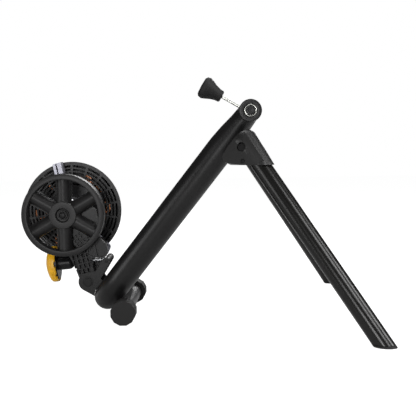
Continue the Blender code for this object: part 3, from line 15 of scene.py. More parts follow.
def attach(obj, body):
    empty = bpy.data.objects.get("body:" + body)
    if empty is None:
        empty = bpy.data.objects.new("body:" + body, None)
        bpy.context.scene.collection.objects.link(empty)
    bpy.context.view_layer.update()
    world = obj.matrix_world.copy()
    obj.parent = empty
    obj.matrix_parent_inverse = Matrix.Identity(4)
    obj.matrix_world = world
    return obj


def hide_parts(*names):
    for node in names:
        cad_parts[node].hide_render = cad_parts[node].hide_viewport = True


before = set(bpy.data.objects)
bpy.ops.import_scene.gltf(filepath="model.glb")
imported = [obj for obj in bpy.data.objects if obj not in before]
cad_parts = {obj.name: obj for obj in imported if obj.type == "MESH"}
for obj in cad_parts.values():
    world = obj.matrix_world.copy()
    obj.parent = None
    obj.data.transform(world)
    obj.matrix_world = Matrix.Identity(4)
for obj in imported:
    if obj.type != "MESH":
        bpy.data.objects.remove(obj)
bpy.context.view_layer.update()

# %% [markdown]
# ## Camera
# The picture was taken a little above the clamps, from the flywheel's side, with a long lens. The place and the
# tilt come from lining up known corners of the model with the photograph, so they are written out plainly.

# %% Camera
IMAGE_SIDE = 416
SENSOR = 36.0
FOCAL_PIXELS = 854.4
CAMERA_PLACE = Vector((0.0479, -1.65, 0.3302))
LOOK_DOWN = math.radians(4.47)
LOOK_ASIDE = math.radians(-0.547)
LOOK_ROLL = math.radians(-0.857)

ahead = Vector((math.sin(LOOK_ASIDE) * math.cos(LOOK_DOWN), math.cos(LOOK_ASIDE) * math.cos(LOOK_DOWN),
                -math.sin(LOOK_DOWN)))
level = ahead.cross(Vector((0, 0, 1))).normalized()
above = level.cross(ahead)
right = level * math.cos(LOOK_ROLL) + above * math.sin(LOOK_ROLL)
upward = above * math.cos(LOOK_ROLL) - level * math.sin(LOOK_ROLL)
lens = bpy.data.cameras.new("camera")
lens.sensor_width = SENSOR
lens.lens = FOCAL_PIXELS / IMAGE_SIDE * SENSOR
camera = bpy.data.objects.new("camera", lens)
camera.matrix_world = Matrix((
    (right.x, upward.x, -ahead.x, CAMERA_PLACE.x),
    (right.y, upward.y, -ahead.y, CAMERA_PLACE.y),
    (right.z, upward.z, -ahead.z, CAMERA_PLACE.z),
    (0, 0, 0, 1)))
bpy.context.scene.collection.objects.link(camera)
bpy.context.scene.camera = camera
bpy.context.scene.view_settings.view_transform = "Standard"
print("lens: %.2f mm" % lens.lens)

# %% [markdown]
# ## Values that flow through a node tree
# Shader maths reads best as plain arithmetic. One small class wraps a socket; an expression such as
# `patches * 0.06 + 0.29` then adds its Math nodes by itself. Every other node comes from one method.


# %% A socket with arithmetic
class Flow:
    """A socket of a node tree, which can be added, scaled and fed to other nodes."""

    def __init__(self, tree, socket=None):
        self.tree = tree
        self.socket = socket

    def node(self, kind, settings=(), inputs=(), output=0):
        made = self.tree.nodes.new(kind)
        for name, value in dict(settings).items():
            if name == "stops":
                ramp = made.color_ramp
                while len(ramp.elements) < len(value):
                    ramp.elements.new(0.5)
                for element, (place, shade) in zip(ramp.elements, value):
                    element.position = place
                    element.color = (shade, shade, shade, 1)
            else:
                setattr(made, name, value)
        for key, value in dict(inputs).items():
            if isinstance(value, Flow):
                self.tree.links.new(value.socket, made.inputs[key])
            else:
                made.inputs[key].default_value = value
        return Flow(self.tree, made.outputs[output])

    def math(self, operation, first, second=0.0):
        return self.node("ShaderNodeMath", {"operation": operation}, {0: first, 1: second})

    def __add__(self, other):
        return self.math("ADD", self, other)

    def __mul__(self, other):
        return self.math("MULTIPLY", self, other)

    def __truediv__(self, other):
        return self.math("DIVIDE", self, other)


def noise(place, scale, detail=2.0, roughness=0.5):
    return place.node("ShaderNodeTexNoise", (),
                      {"Vector": place, "Scale": scale, "Detail": detail, "Roughness": roughness})


def steps(value, *stops):
    """A ramp in greys: pairs of place and shade."""
    return value.node("ShaderNodeValToRGB", {"stops": stops}, {"Fac": value})


def blended(factor, first, second):
    """A colour between two, by a factor."""
    def colour(value):
        return value if isinstance(value, Flow) else (*value, 1.0)
    return factor.node("ShaderNodeMix", {"data_type": "RGBA"},
                       {0: factor, 6: colour(first), 7: colour(second)}, 2)


def relief(height, distance, strength=1.0):
    return height.node("ShaderNodeBump", (), {"Height": height, "Distance": distance, "Strength": strength})


def start_finish(name):
    """A new material: its shader, and the place on the object that its patterns read."""
    material = bpy.data.materials.new(name)
    material.use_nodes = True
    shader = material.node_tree.nodes["Principled BSDF"]
    place = Flow(material.node_tree).node("ShaderNodeTexCoord", output="Object")
    return material, shader, place


def feed(shader, sockets):
    """Sets a shader's sockets: a number or colour directly, a flow by a link."""
    for name, value in sockets.items():
        if isinstance(value, Flow):
            value.tree.links.new(value.socket, shader.inputs[name])
        elif isinstance(value, tuple):
            shader.inputs[name].default_value = (*value, 1.0)
        else:
            shader.inputs[name].default_value = value


def as_material(sockets):
    """Turns a function into the material of its name; the function gives the shader's sockets from a place."""
    material, shader, place = start_finish(sockets.__name__)
    feed(shader, sockets(place))
    return material


# %% [markdown]
# ## Floor, background and light
# The trainer stands on a white sweep that is nearly white of its own accord for the camera, so a shadow on it stays
# faint. Mirrors see a little of that white, and the light that reaches the object stays moderate, so black parts
# keep their form. The lamps are soft boxes: the upper right one draws the bright line on the legs, the front one
# lifts the faces that look at the camera, the left one shapes the spokes, and the rear one serves views from behind.

# %% Floor and light
FLOOR_REACH = 6.0
FLOOR_DROP = 0.0004
FLOOR_GREY = 0.55
CAMERA_SHARE = 0.47
MIRROR_SHARE = 0.15
MIRROR_GLOW = 0.95
CAMERA_GLOW_MORE = 1.12
WORLD_LIGHT = 0.05
LAMP_TARGET = (-0.05, 0, 0.2)
LAMPS = (
    ("upper_right_box", (1.05, -1.47, 1.46), (0.5, 0.8), 17),
    ("front_box", (-0.38, -2.30, 0.45), (0.5, 0.5), 15),
    ("left_box", (-1.90, -1.10, 0.40), (0.9, 0.8), 10),
    ("far_right_box", (2.0, -0.4, 1.2), (0.5, 1.2), 24),
    ("top_box", (0.1, 0.1, 2.0), (1.6, 1.0), 17),
    ("rear_box", (0.4, 2.2, 1.4), (1.4, 1.0), 30),
)


def white_to_the_eye(tree):
    """The share of plain white in the floor: most for the camera, less for mirrors and glass."""
    path = tree.nodes.new("ShaderNodeLightPath")
    seen = Flow(tree, path.outputs["Is Camera Ray"])
    glossy = Flow(tree, path.outputs["Is Glossy Ray"])
    through = Flow(tree, path.outputs["Is Transmission Ray"])
    return seen.math("MAXIMUM", seen * CAMERA_SHARE, seen.math("MAXIMUM", glossy, through) * MIRROR_SHARE)


def make_floor():
    bm = bmesh.new()
    bmesh.ops.create_grid(bm, x_segments=1, y_segments=1, size=FLOOR_REACH)
    mesh = bpy.data.meshes.new("floor")
    bm.to_mesh(mesh)
    bm.free()
    floor = bpy.data.objects.new("floor", mesh)
    bpy.context.scene.collection.objects.link(floor)
    floor.location.z = -FLOOR_DROP
    material, shader, place = start_finish("floor_paper")
    feed(shader, {"Base Color": (FLOOR_GREY,) * 3, "Roughness": 0.9, "Specular IOR Level": 0.0})
    tree = material.node_tree
    path = tree.nodes.new("ShaderNodeLightPath")
    strength = Flow(tree, path.outputs["Is Camera Ray"]) * CAMERA_GLOW_MORE + MIRROR_GLOW
    glow = Flow(tree).node("ShaderNodeEmission", (), {"Color": (1, 1, 1, 1), "Strength": strength})
    share = white_to_the_eye(tree)
    mixed = share.node("ShaderNodeMixShader", (), {"Fac": share, 2: glow})
    tree.links.new(shader.outputs[0], mixed.socket.node.inputs[1])
    tree.links.new(mixed.socket, tree.nodes["Material Output"].inputs["Surface"])
    mesh.materials.append(material)


def make_world(strength):
    """A world that is white for the camera and gives only a little light."""
    world = bpy.data.worlds.new("studio")
    bpy.context.scene.world = world
    world.use_nodes = True
    background = world.node_tree.nodes["Background"]
    path = world.node_tree.nodes.new("ShaderNodeLightPath")
    seen = Flow(world.node_tree, path.outputs["Is Camera Ray"])
    level_of_light = seen * (1 - strength) + strength
    feed(background, {"Color": (1.0, 1.0, 1.0), "Strength": level_of_light})


def make_lamp(name, place, size, power):
    """A soft box that faces the object."""
    light = bpy.data.lights.new(name, "AREA")
    light.shape = "RECTANGLE"
    light.size, light.size_y = size
    light.energy = power
    lamp = bpy.data.objects.new(name, light)
    lamp.location = place
    toward = Vector(LAMP_TARGET) - Vector(place)
    lamp.rotation_euler = toward.to_track_quat("-Z", "Y").to_euler()
    bpy.context.scene.collection.objects.link(lamp)


make_floor()
make_world(WORLD_LIGHT)
for lamp in LAMPS:
    make_lamp(*lamp)
print("lamps:", ", ".join(lamp[0] for lamp in LAMPS))

# %% [markdown]
# ## Meshes
# Each finished piece is an object at the origin with its place in its mesh. A turned piece is drawn as a
# profile of radius and distance along its axis. A softened piece starts from a CAD solid: its loose triangles
# are merged, flat areas are redrawn with as few faces as they need, large faces are cut into triangles again so
# that holes in them survive, and a small bevel catches the light.

# %% Mesh helpers
AXIS_Y = Vector((0, 1, 0))
SMOOTH_ANGLE = math.radians(34)
FLAT_ANGLE = math.radians(0.4)
SOLID_MERGE = 2e-6
GROWN_MERGE = 1e-6


def placed(name, bm, matrix=None):
    """A bmesh as an object with its place in its mesh."""
    if matrix is not None:
        bm.transform(matrix)
        if matrix.determinant() < 0:
            bmesh.ops.reverse_faces(bm, faces=bm.faces)
    mesh = bpy.data.meshes.new(name)
    bm.to_mesh(mesh)
    bm.free()
    mesh.shade_smooth()
    mesh.set_sharp_from_angle(angle=SMOOTH_ANGLE)
    made = bpy.data.objects.new(name, mesh)
    bpy.context.scene.collection.objects.link(made)
    return made


def along_axis(origin, direction, aside=None):
    """The matrix that lays a shape's z along a direction, from an origin."""
    w = Vector(direction).normalized()
    u = Vector(aside) if aside is not None else (Vector((0, 0, 1)) if abs(w.z) < 0.9 else Vector((1, 0, 0)))
    u = (u - w * u.dot(w)).normalized()
    v = w.cross(u)
    return Matrix((
        (u.x, v.x, w.x, origin[0]),
        (u.y, v.y, w.y, origin[1]),
        (u.z, v.z, w.z, origin[2]),
        (0, 0, 0, 1)))


def turned(profile, segments=96, closed=False):
    """Turns (radius, height) points around z. An open profile starts and ends on the axis."""
    bm = bmesh.new()
    rings = []
    for radius, height in profile:
        if radius < 1e-7:
            rings.append([bm.verts.new((0, 0, height))])
        else:
            rings.append([bm.verts.new((radius * math.cos(math.tau * k / segments),
                                        radius * math.sin(math.tau * k / segments), height))
                          for k in range(segments)])
    pairs = list(zip(rings, rings[1:]))
    if closed:
        pairs.append((rings[-1], rings[0]))
    faces = []
    for low, high in pairs:
        for k in range(segments):
            after = (k + 1) % segments
            corners = [low[k % len(low)], low[after % len(low)], high[after % len(high)], high[k % len(high)]]
            unique = list(dict.fromkeys(corners))
            if len(unique) > 2:
                faces.append(bm.faces.new(unique))
    area = sum((a[0] * b[1] - b[0] * a[1]) for a, b in zip(profile, list(profile[1:]) + [profile[0]]))
    if area < 0:
        bmesh.ops.reverse_faces(bm, faces=faces)
    return bm


def rounded(profile, radius, count=4):
    """The same profile with every corner but its two ends rounded to a small radius."""
    points = [Vector(p) for p in profile]
    result = [tuple(points[0])]
    for before, corner, after in zip(points, points[1:], points[2:]):
        back = before - corner
        on = after - corner
        reach = min(radius, back.length * 0.45, on.length * 0.45)
        start = corner + back.normalized() * reach
        end = corner + on.normalized() * reach
        for k in range(count + 1):
            t = k / count
            result.append(tuple(start * (1 - t) ** 2 + corner * (2 * t * (1 - t)) + end * t ** 2))
    result.append(tuple(points[-1]))
    return result


def rounded_loop(profile, radius):
    """A closed profile with all its corners rounded."""
    return rounded(list(profile) + [profile[0], profile[1]], radius)[2:-1]


def softened(node, name, edge, segments=2, angle=30.0):
    """A copy of a CAD solid with merged faces and softly bevelled edges."""
    bm = bmesh.new()
    bm.from_mesh(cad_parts[node].data)
    bmesh.ops.remove_doubles(bm, verts=bm.verts, dist=SOLID_MERGE)
    bmesh.ops.dissolve_limit(bm, angle_limit=FLAT_ANGLE, verts=bm.verts, edges=bm.edges)
    bmesh.ops.triangulate(bm, faces=[face for face in bm.faces if len(face.verts) > 4])
    return bevelled(placed(name, bm), edge, segments, angle)


def bevelled(made, edge, segments=2, angle=30.0):
    """The object with soft edges, worked into its mesh."""
    bevel = made.modifiers.new("soft_edge", "BEVEL")
    bevel.width = edge
    bevel.segments = segments
    bevel.limit_method = "ANGLE"
    bevel.angle_limit = math.radians(angle)
    bevel.use_clamp_overlap = True
    bevel.miter_outer = "MITER_ARC"
    weighted = made.modifiers.new("even_shading", "WEIGHTED_NORMAL")
    weighted.keep_sharp = True
    return frozen(made)


def frozen(obj):
    """The object with its modifiers worked into a plain mesh."""
    graph = bpy.context.evaluated_depsgraph_get()
    graph.update()
    mesh = bpy.data.meshes.new_from_object(obj.evaluated_get(graph))
    mesh.name = obj.name
    old = obj.data
    obj.modifiers.clear()
    obj.data = mesh
    if old.users == 0:
        bpy.data.meshes.remove(old)
    return obj


def joined(name, pieces):
    """Several objects' meshes as one object."""
    bm = bmesh.new()
    for piece in pieces:
        bm.from_mesh(piece.data)
    for piece in pieces:
        bpy.data.objects.remove(piece)
    return placed(name, bm)


def dress(obj, finish, body, slot, *nodes):
    """Gives a piece its finish and its body, and hides the CAD nodes that it stands for; the slot is not used."""
    obj.data.materials.clear()
    obj.data.materials.append(finish)
    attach(obj, body)
    if nodes:
        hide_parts(*nodes)
    return obj


# %% [markdown]
# ## Repeats
# Spokes, the cage's sectors, bearing balls and coils stand in a ring; threads and windings follow a helix; a weld
# follows the joint between two pieces. Each is a small Geometry Nodes tree with named inputs. The tree ends in
# Realize Instances, and the result is kept as a plain mesh.


# %% Geometry Nodes helpers
def new_tree(name, inputs):
    """A Geometry Nodes tree with named inputs; gives the tree and a flow for each input."""
    tree = bpy.data.node_groups.new(name, "GeometryNodeTree")
    tree.interface.new_socket("Geometry", in_out="OUTPUT", socket_type="NodeSocketGeometry")
    for label, kind in inputs:
        tree.interface.new_socket(label, in_out="INPUT", socket_type=kind)
    entry = tree.nodes.new("NodeGroupInput")
    return tree, {label: Flow(tree, entry.outputs[label]) for label, kind in inputs}


def close_tree(tree, geometry_flow, material_flow):
    real = geometry_flow.node("GeometryNodeRealizeInstances", (), {0: geometry_flow})
    painted = real.node("GeometryNodeSetMaterial", (), {"Geometry": real, "Material": material_flow})
    out = tree.nodes.new("NodeGroupOutput")
    tree.links.new(painted.socket, out.inputs[0])


def grown(name, tree, values, matrix=None):
    """Runs a tree with its input values and keeps what it makes as an object."""
    mesh = bpy.data.meshes.new(name)
    made = bpy.data.objects.new(name, mesh)
    bpy.context.scene.collection.objects.link(made)
    modifier = made.modifiers.new("grow", "NODES")
    modifier.node_group = tree
    for item in tree.interface.items_tree:
        if item.in_out == "INPUT" and item.name in values:
            modifier[item.identifier] = values[item.name]
    frozen(made)
    if matrix is not None:
        made.data.transform(matrix)
    bm = bmesh.new()
    bm.from_mesh(made.data)
    bmesh.ops.remove_doubles(bm, verts=bm.verts, dist=GROWN_MERGE)
    bmesh.ops.recalc_face_normals(bm, faces=bm.faces)
    bm.to_mesh(made.data)
    bm.free()
    made.data.shade_smooth()
    made.data.set_sharp_from_angle(angle=SMOOTH_ANGLE)
    return made


def ring_tree():
    """Copies of one piece around z."""
    tree, given = new_tree("in_a_ring", (
        ("Piece", "NodeSocketObject"), ("Count", "NodeSocketInt"), ("Start", "NodeSocketFloat"),
        ("Finish", "NodeSocketMaterial")))
    count = given["Count"]
    points = count.node("GeometryNodePoints", (), {"Count": count})
    index = count.node("GeometryNodeInputIndex")
    angle = index * math.tau / count + given["Start"]
    turn = angle.node("ShaderNodeCombineXYZ", (), {"Z": angle})
    source = count.node("GeometryNodeObjectInfo", (), {"Object": given["Piece"]}, "Geometry")
    copies = points.node("GeometryNodeInstanceOnPoints", (),
                         {"Points": points, "Instance": source, "Rotation": turn})
    close_tree(tree, copies, given["Finish"])
    return tree


def helix_tree():
    """A round wire along a helix around z."""
    tree, given = new_tree("helix", (
        ("Turns", "NodeSocketFloat"), ("Radius", "NodeSocketFloat"), ("Height", "NodeSocketFloat"),
        ("Wire", "NodeSocketFloat"), ("Steps", "NodeSocketInt"), ("Sides", "NodeSocketInt"),
        ("Finish", "NodeSocketMaterial")))
    radius = given["Radius"]
    spiral = radius.node("GeometryNodeCurveSpiral", (), {
        "Resolution": given["Steps"], "Rotations": given["Turns"], "Start Radius": radius,
        "End Radius": radius, "Height": given["Height"]})
    section = radius.node("GeometryNodeCurvePrimitiveCircle", (),
                          {"Resolution": given["Sides"], "Radius": given["Wire"]})
    wire = spiral.node("GeometryNodeCurveToMesh", (),
                       {"Curve": spiral, "Profile Curve": section, "Fill Caps": True})
    close_tree(tree, wire, given["Finish"])
    return tree


def bead_tree():
    """A weld bead along a closed path, thick and thin by turns."""
    tree, given = new_tree("weld_bead", (
        ("Path", "NodeSocketObject"), ("Ripples", "NodeSocketInt"), ("Size", "NodeSocketFloat"),
        ("Finish", "NodeSocketMaterial")))
    ripples = given["Ripples"]
    path = ripples.node("GeometryNodeObjectInfo", (), {"Object": given["Path"]}, "Geometry")
    even = path.node("GeometryNodeResampleCurve", (), {"Curve": path, "Count": ripples * 4})
    index = even.node("GeometryNodeInputIndex")
    swell = index.math("SINE", index * (math.tau / 4)) * 0.16 + 1
    section = even.node("GeometryNodeCurvePrimitiveCircle", (), {"Resolution": 10, "Radius": given["Size"]})
    shaped = even.node("GeometryNodeSetCurveRadius", (), {"Curve": even, "Radius": swell})
    bead = shaped.node("GeometryNodeCurveToMesh", (), {"Curve": shaped, "Profile Curve": section,
                                                      "Scale": swell})
    close_tree(tree, bead, given["Finish"])
    return tree


IN_A_RING = ring_tree()
HELIX = helix_tree()
WELD_BEAD = bead_tree()


def ring_of(name, piece, count, start, finish, matrix):
    """A ring of copies of a piece, which is used up."""
    made = grown(name, IN_A_RING, {"Piece": piece, "Count": count, "Start": start, "Finish": finish}, matrix)
    bpy.data.objects.remove(piece)
    return made


def helix(name, turns, radius, height, wire, steps_per_turn, finish, matrix, sides=8):
    """A wire along a helix; the spiral's steps count for one turn each."""
    return grown(name, HELIX, {"Turns": turns, "Radius": radius, "Height": height, "Wire": wire,
                               "Steps": steps_per_turn, "Sides": sides, "Finish": finish}, matrix)


print("trees:", ", ".join(tree.name for tree in (IN_A_RING, HELIX, WELD_BEAD)))

# %% [markdown]
# ## Finishes
# Nearly everything is black, so the finishes differ by their gloss and their grain: powder coat has a fine
# orange peel, the leg tubes are smoother and shine, mouldings carry a spark-eroded grain, and rubber is dull. All
# patterns read the object's own coordinates, so they stay on a piece when it moves. Each function below becomes a
# material.


# %% Coated and painted steel
@as_material
def powder_coat(place):
    patches = noise(place, 18, 2)
    peel = noise(place, 620, 3, 0.6)
    speck = steps(noise(place, 1500, 1), (0.62, 0), (0.72, 1))
    colour = blended(patches, (0.0068, 0.0066, 0.0068), (0.0092, 0.0090, 0.0092))
    return {
        "Base Color": blended(speck * 0.35, colour, (0.026, 0.026, 0.027)),
        "Roughness": patches * 0.06 + 0.29 + peel * 0.06,
        "Specular IOR Level": 0.30,
        "Normal": relief(peel, 0.00028, 0.35)}


@as_material
def leg_paint(place):
    patches = noise(place, 14, 2)
    peel = noise(place, 300, 2)
    scuff = steps(noise(place, 90, 5, 0.7), (0.66, 0), (0.78, 1))
    return {
        "Base Color": blended(patches, (0.0050, 0.0047, 0.0043), (0.0072, 0.0069, 0.0063)),
        "Roughness": patches * 0.05 + 0.24 + scuff * 0.08,
        "Specular IOR Level": 0.32,
        "Normal": relief(peel, 0.00010, 0.15)}


@as_material
def casting_paint(place):
    grain = noise(place, 420, 4, 0.65)
    lumps = noise(place, 70, 3)
    return {
        "Base Color": blended(lumps, (0.0125, 0.0121, 0.0124), (0.0170, 0.0165, 0.0168)),
        "Roughness": lumps * 0.08 + 0.38,
        "Specular IOR Level": 0.28,
        "Normal": relief(grain * 0.6 + lumps * 0.4, 0.0005, 0.4)}


@as_material
def foot_bar_coat(place):
    """A thinner coat than the frame's; its greyer tone and lighter patches are a painted highlight, the white floor's
    reflection along the bar.
    """
    patches = noise(place, 24, 3)
    peel = noise(place, 520, 3, 0.6)
    painted_sheen = steps(noise(place, 120, 5, 0.7), (0.55, 0), (0.75, 1))
    return {
        # Painted highlight: the grey base and the lighter patches stand in for the floor's reflection on the bar
        "Base Color": blended(painted_sheen * 0.4, blended(patches, (0.022, 0.022, 0.0225), (0.030, 0.030, 0.031)),
                              (0.09, 0.09, 0.09)),
        "Roughness": patches * 0.10 + 0.34,
        "Specular IOR Level": 0.35,
        "Normal": relief(peel, 0.00028, 0.35)}


# %% Metals
@as_material
def zinc_plate(place):
    bloom = noise(place, 160, 4, 0.6)
    lines = noise(place, 1100, 2)
    return {
        "Base Color": blended(bloom, (0.40, 0.41, 0.42), (0.55, 0.56, 0.57)),
        "Metallic": 1.0,
        "Roughness": bloom * 0.16 + 0.24,
        "Normal": relief(lines, 0.00006, 0.4)}


@as_material
def black_oxide(place):
    bloom = noise(place, 240, 3)
    return {
        "Base Color": blended(bloom, (0.007, 0.007, 0.0075), (0.017, 0.0165, 0.0165)),
        "Metallic": 0.3,
        "Roughness": bloom * 0.15 + 0.36,
        "Specular IOR Level": 0.25,
        "Normal": relief(bloom, 0.0001, 0.3)}


@as_material
def chrome_plate(place):
    smears = noise(place, 60, 4, 0.65)
    return {
        "Base Color": blended(smears, (0.46, 0.47, 0.44), (0.54, 0.54, 0.51)),
        "Metallic": 1.0,
        "Roughness": smears * 0.06 + 0.22}


@as_material
def cast_aluminium(place):
    grain = noise(place, 700, 4, 0.65)
    patches = noise(place, 45, 2)
    return {
        "Base Color": blended(patches, (0.31, 0.31, 0.35), (0.39, 0.39, 0.44)),
        "Metallic": 0.85,
        "Roughness": patches * 0.10 + 0.38,
        "Normal": relief(grain, 0.00025, 0.4)}


@as_material
def turned_aluminium(place):
    bands = place.node("ShaderNodeTexWave", {"wave_type": "BANDS", "bands_direction": "Y"},
                       {"Vector": place, "Scale": 420.0, "Distortion": 0.4, "Detail": 1.0}, "Fac")
    wear = noise(place, 40, 3)
    return {
        "Base Color": blended(wear, (0.52, 0.53, 0.55), (0.68, 0.68, 0.70)),
        "Metallic": 1.0,
        "Roughness": wear * 0.12 + 0.22,
        "Normal": relief(bands, 0.00008, 0.5)}


@as_material
def copper_enamel(place):
    tone = noise(place, 300, 2)
    return {
        "Base Color": blended(tone, (0.13, 0.045, 0.016), (0.20, 0.077, 0.030)),
        "Metallic": 0.9,
        "Roughness": tone * 0.1 + 0.25,
        "Coat Weight": 0.5,
        "Coat Roughness": 0.15}


# %% Plastics and rubber
@as_material
def grained_plastic(place):
    grain = noise(place, 1300, 3, 0.6)
    patches = noise(place, 30, 2)
    return {
        "Base Color": blended(patches, (0.0060, 0.0058, 0.0062), (0.0085, 0.0082, 0.0087)),
        "Roughness": grain * 0.10 + 0.30,
        "Specular IOR Level": 0.30,
        "Normal": relief(grain, 0.00018, 0.35)}


@as_material
def glass_filled_plastic(place):
    """The knuckles' tough nylon: dull, with a coarser grain and faint flow marks."""
    grain = noise(place, 1000, 4, 0.65)
    flow = noise(place, 26, 3, 0.6)
    return {
        "Base Color": blended(flow, (0.0115, 0.0112, 0.0112), (0.0155, 0.0151, 0.0151)),
        "Roughness": grain * 0.08 + 0.34,
        "Specular IOR Level": 0.42,
        "Normal": relief(grain, 0.00008, 0.15)}


@as_material
def moulded_rubber(place):
    grain = noise(place, 900, 3, 0.7)
    dust = noise(place, 55, 4, 0.65)
    return {
        "Base Color": blended(dust, (0.0105, 0.0101, 0.0102), (0.0180, 0.0175, 0.0173)),
        "Roughness": dust * 0.12 + 0.56,
        "Specular IOR Level": 0.25,
        "Normal": relief(grain, 0.0002, 0.35)}


@as_material
def yellow_moulding(place):
    swirl = noise(place, 40, 3)
    grain = noise(place, 1000, 2)
    return {
        "Base Color": blended(swirl, (0.86, 0.43, 0.008), (0.95, 0.52, 0.014)),
        "Roughness": swirl * 0.08 + 0.34,
        "Subsurface Weight": 0.06,
        "Subsurface Radius": Vector((0.004, 0.002, 0.0005)),
        "Normal": relief(grain, 0.0001, 0.25)}


print("finishes:", len(bpy.data.materials))

# %% [markdown]
# ## Main tube, legs and feet
# The tube frame, the legs and the plates have the right shape already. They are softened copies of their
# solids; the radius of each edge follows how the piece is made, so sheet metal is crisp and rubber is round.

# %% Softened steel and rubber
SOFT_PIECES = [
    ("main_tube", "main_tube_coated", 0.0008, powder_coat, "frame", "powder_black"),
    ("foot_bar_saddle", "saddle_coated", 0.0008, powder_coat, "frame", "powder_black"),
    ("rear_foot_bar", "rear_bar_coated", 0.0005, foot_bar_coat, "frame", "powder_black"),
    ("yoke", "yoke_moulding", 0.0009, grained_plastic, "resistance_unit", "moulded_black"),
    ("far_arm", "far_arm_casting", 0.0008, cast_aluminium, "resistance_unit", "aluminium"),
    ("stator_ring", "stator_plate", 0.0004, black_oxide, "resistance_unit", "satin_black"),
    ("brake_rotor", "brake_rotor_fan", 0.0005, zinc_plate, "roller_set", "zinc_steel"),
    ("right_lock_ring", "right_ring_painted", 0.0008, leg_paint, "right_lock_ring", "satin_black"),
    ("right_end_knob", "right_knob_moulding", 0.0010, grained_plastic, "right_screw", "moulded_black"),
    ("yoke_pivot_bolt", "yoke_pivot_bolt_black", 0.0004, black_oxide, "frame", "zinc_steel"),
    ("yoke_pivot_nut", "yoke_pivot_nut_plated", 0.0004, zinc_plate, "frame", "zinc_steel"),
    ("yoke_pivot_bush", "yoke_pivot_bush_turned", 0.0003, zinc_plate, "resistance_unit", "zinc_steel"),
    ("shaft", "shaft_ground", 0.0005, zinc_plate, "roller_set", "zinc_steel"),
    ("flywheel_nut", "flywheel_nut_black", 0.0004, black_oxide, "roller_set", "zinc_steel"),
]
# Both sides have these; "@" stands for the side's word, which also starts the node's and the piece's name
PAIRED_PIECES = (
    ("hinge_lug", "lug_coated", 0.0008, powder_coat, "frame", "powder_black"),
    ("bracket_plate", "plate_coated", 0.0006, powder_coat, "frame", "powder_black"),
    ("rear_cap", "rear_cap_rubber", 0.0016, moulded_rubber, "frame", "rubber_black"),
    ("leg", "leg_painted", 0.0004, leg_paint, "@_leg", "satin_black"),
    ("foot_cap", "foot_rubber", 0.0008, moulded_rubber, "@_leg", "rubber_black"),
    ("leg_knuckle", "knuckle_moulding", 0.0014, glass_filled_plastic, "@_leg", "moulded_black"),
    ("axle_cup", "cup_turned", 0.0006, zinc_plate, "@_cup", "zinc_steel"),
    ("pivot_bolt", "pivot_bolt_black", 0.0004, black_oxide, "frame", "zinc_steel"),
    ("pivot_nut", "pivot_nut_plated", 0.0004, zinc_plate, "frame", "zinc_steel"),
    ("knuckle_screw", "knuckle_screw_black", 0.0004, black_oxide, "@_leg", "zinc_steel"),
)
for word in ("left", "right"):
    SOFT_PIECES += [(f"{word}_{node}", f"{word}_{name}", edge, finish, body.replace("@", word), slot)
                    for node, name, edge, finish, body, slot in PAIRED_PIECES]

for node, name, edge, finish, body, slot in SOFT_PIECES:
    dress(softened(node, name, edge), finish, body, slot, node)
print("softened pieces:", len(SOFT_PIECES))

# %% [markdown]
# ## Axle clamps
# The left clamp is a short sleeve across the tube's end. A chromed plunger slides in it, with a round lip and a dark
# plug in its end, and a rod with a rubber knob turns it. These are turned parts, so they are drawn as profiles.

# %% Clamp sleeves, plunger and handle
AXLE = Vector((0.1099, 0, 0.3824))
SLEEVE_RADIUS = 0.0197
SLEEVE_START = 0.1063
SLEEVE_END = 0.1653
SLEEVE_EDGE = 0.0009
SPINDLE_BORE = 0.0093
GAP = 0.0003

PLUNGER_RADIUS = 0.0110
PLUNGER_START = 0.0903
PLUNGER_END = 0.1668
PLUNGER_WALL = 0.0022
PLUNGER_CHAMFER = 0.0006
PLUG_START = 0.1580
PLUG_END = 0.1660
PLUG_RADIUS = 0.0085
PLUG_DISH = 0.0006
PLUG_DISH_RADIUS = 0.0060

HANDLE_ANGLE = math.radians(150)
HANDLE_OFFSET = Vector((0, -0.0985, -0.0012))
ROD_RADIUS = 0.0025
ROD_LENGTH = 0.0759
COLLAR_RADIUS = 0.0045
COLLAR_START = PLUNGER_RADIUS - 0.0037
COLLAR_END = PLUNGER_RADIUS + 0.0060

SPINDLE_CORE = 0.0086
SPINDLE_START = 0.0903
SPINDLE_END = 0.1833


def side_axis(side):
    """The matrix of the axle's line, outwards on one side."""
    return along_axis(AXLE, AXIS_Y * side)


def clamp_sleeve(side, word):
    bore = PLUNGER_RADIUS + GAP if side < 0 else SPINDLE_BORE
    profile = ((bore, SLEEVE_START), (SLEEVE_RADIUS, SLEEVE_START), (SLEEVE_RADIUS, SLEEVE_END),
               (bore, SLEEVE_END))
    soft = rounded_loop(profile, SLEEVE_EDGE)
    made = placed(word + "_sleeve_coated", turned(soft, 112, closed=True), side_axis(side))
    dress(made, powder_coat, "frame", "powder_black", word + "_clamp_sleeve")


def plunger_profile(steps_in_lip=10):
    """A solid bar with a chamfered inner end and a thin wall around the plug, whose lip is a half circle."""
    lip = PLUNGER_WALL / 2
    turn = [math.pi * k / steps_in_lip for k in range(steps_in_lip + 1)]
    return ([(0, PLUNGER_START), (PLUNGER_RADIUS - PLUNGER_CHAMFER, PLUNGER_START),
             (PLUNGER_RADIUS, PLUNGER_START + PLUNGER_CHAMFER)]
            + [(PLUNGER_RADIUS - lip + lip * math.cos(a), PLUNGER_END - lip + lip * math.sin(a)) for a in turn]
            + [(PLUNGER_RADIUS - PLUNGER_WALL, PLUG_START - 0.001), (0, PLUG_START - 0.001)])


clamp_sleeve(-1, "left")
clamp_sleeve(1, "right")

plunger = placed("plunger_chromed", turned(plunger_profile(), 96), side_axis(-1))
dress(plunger, chrome_plate, "left_clamp_handle", "chrome", "left_plunger")

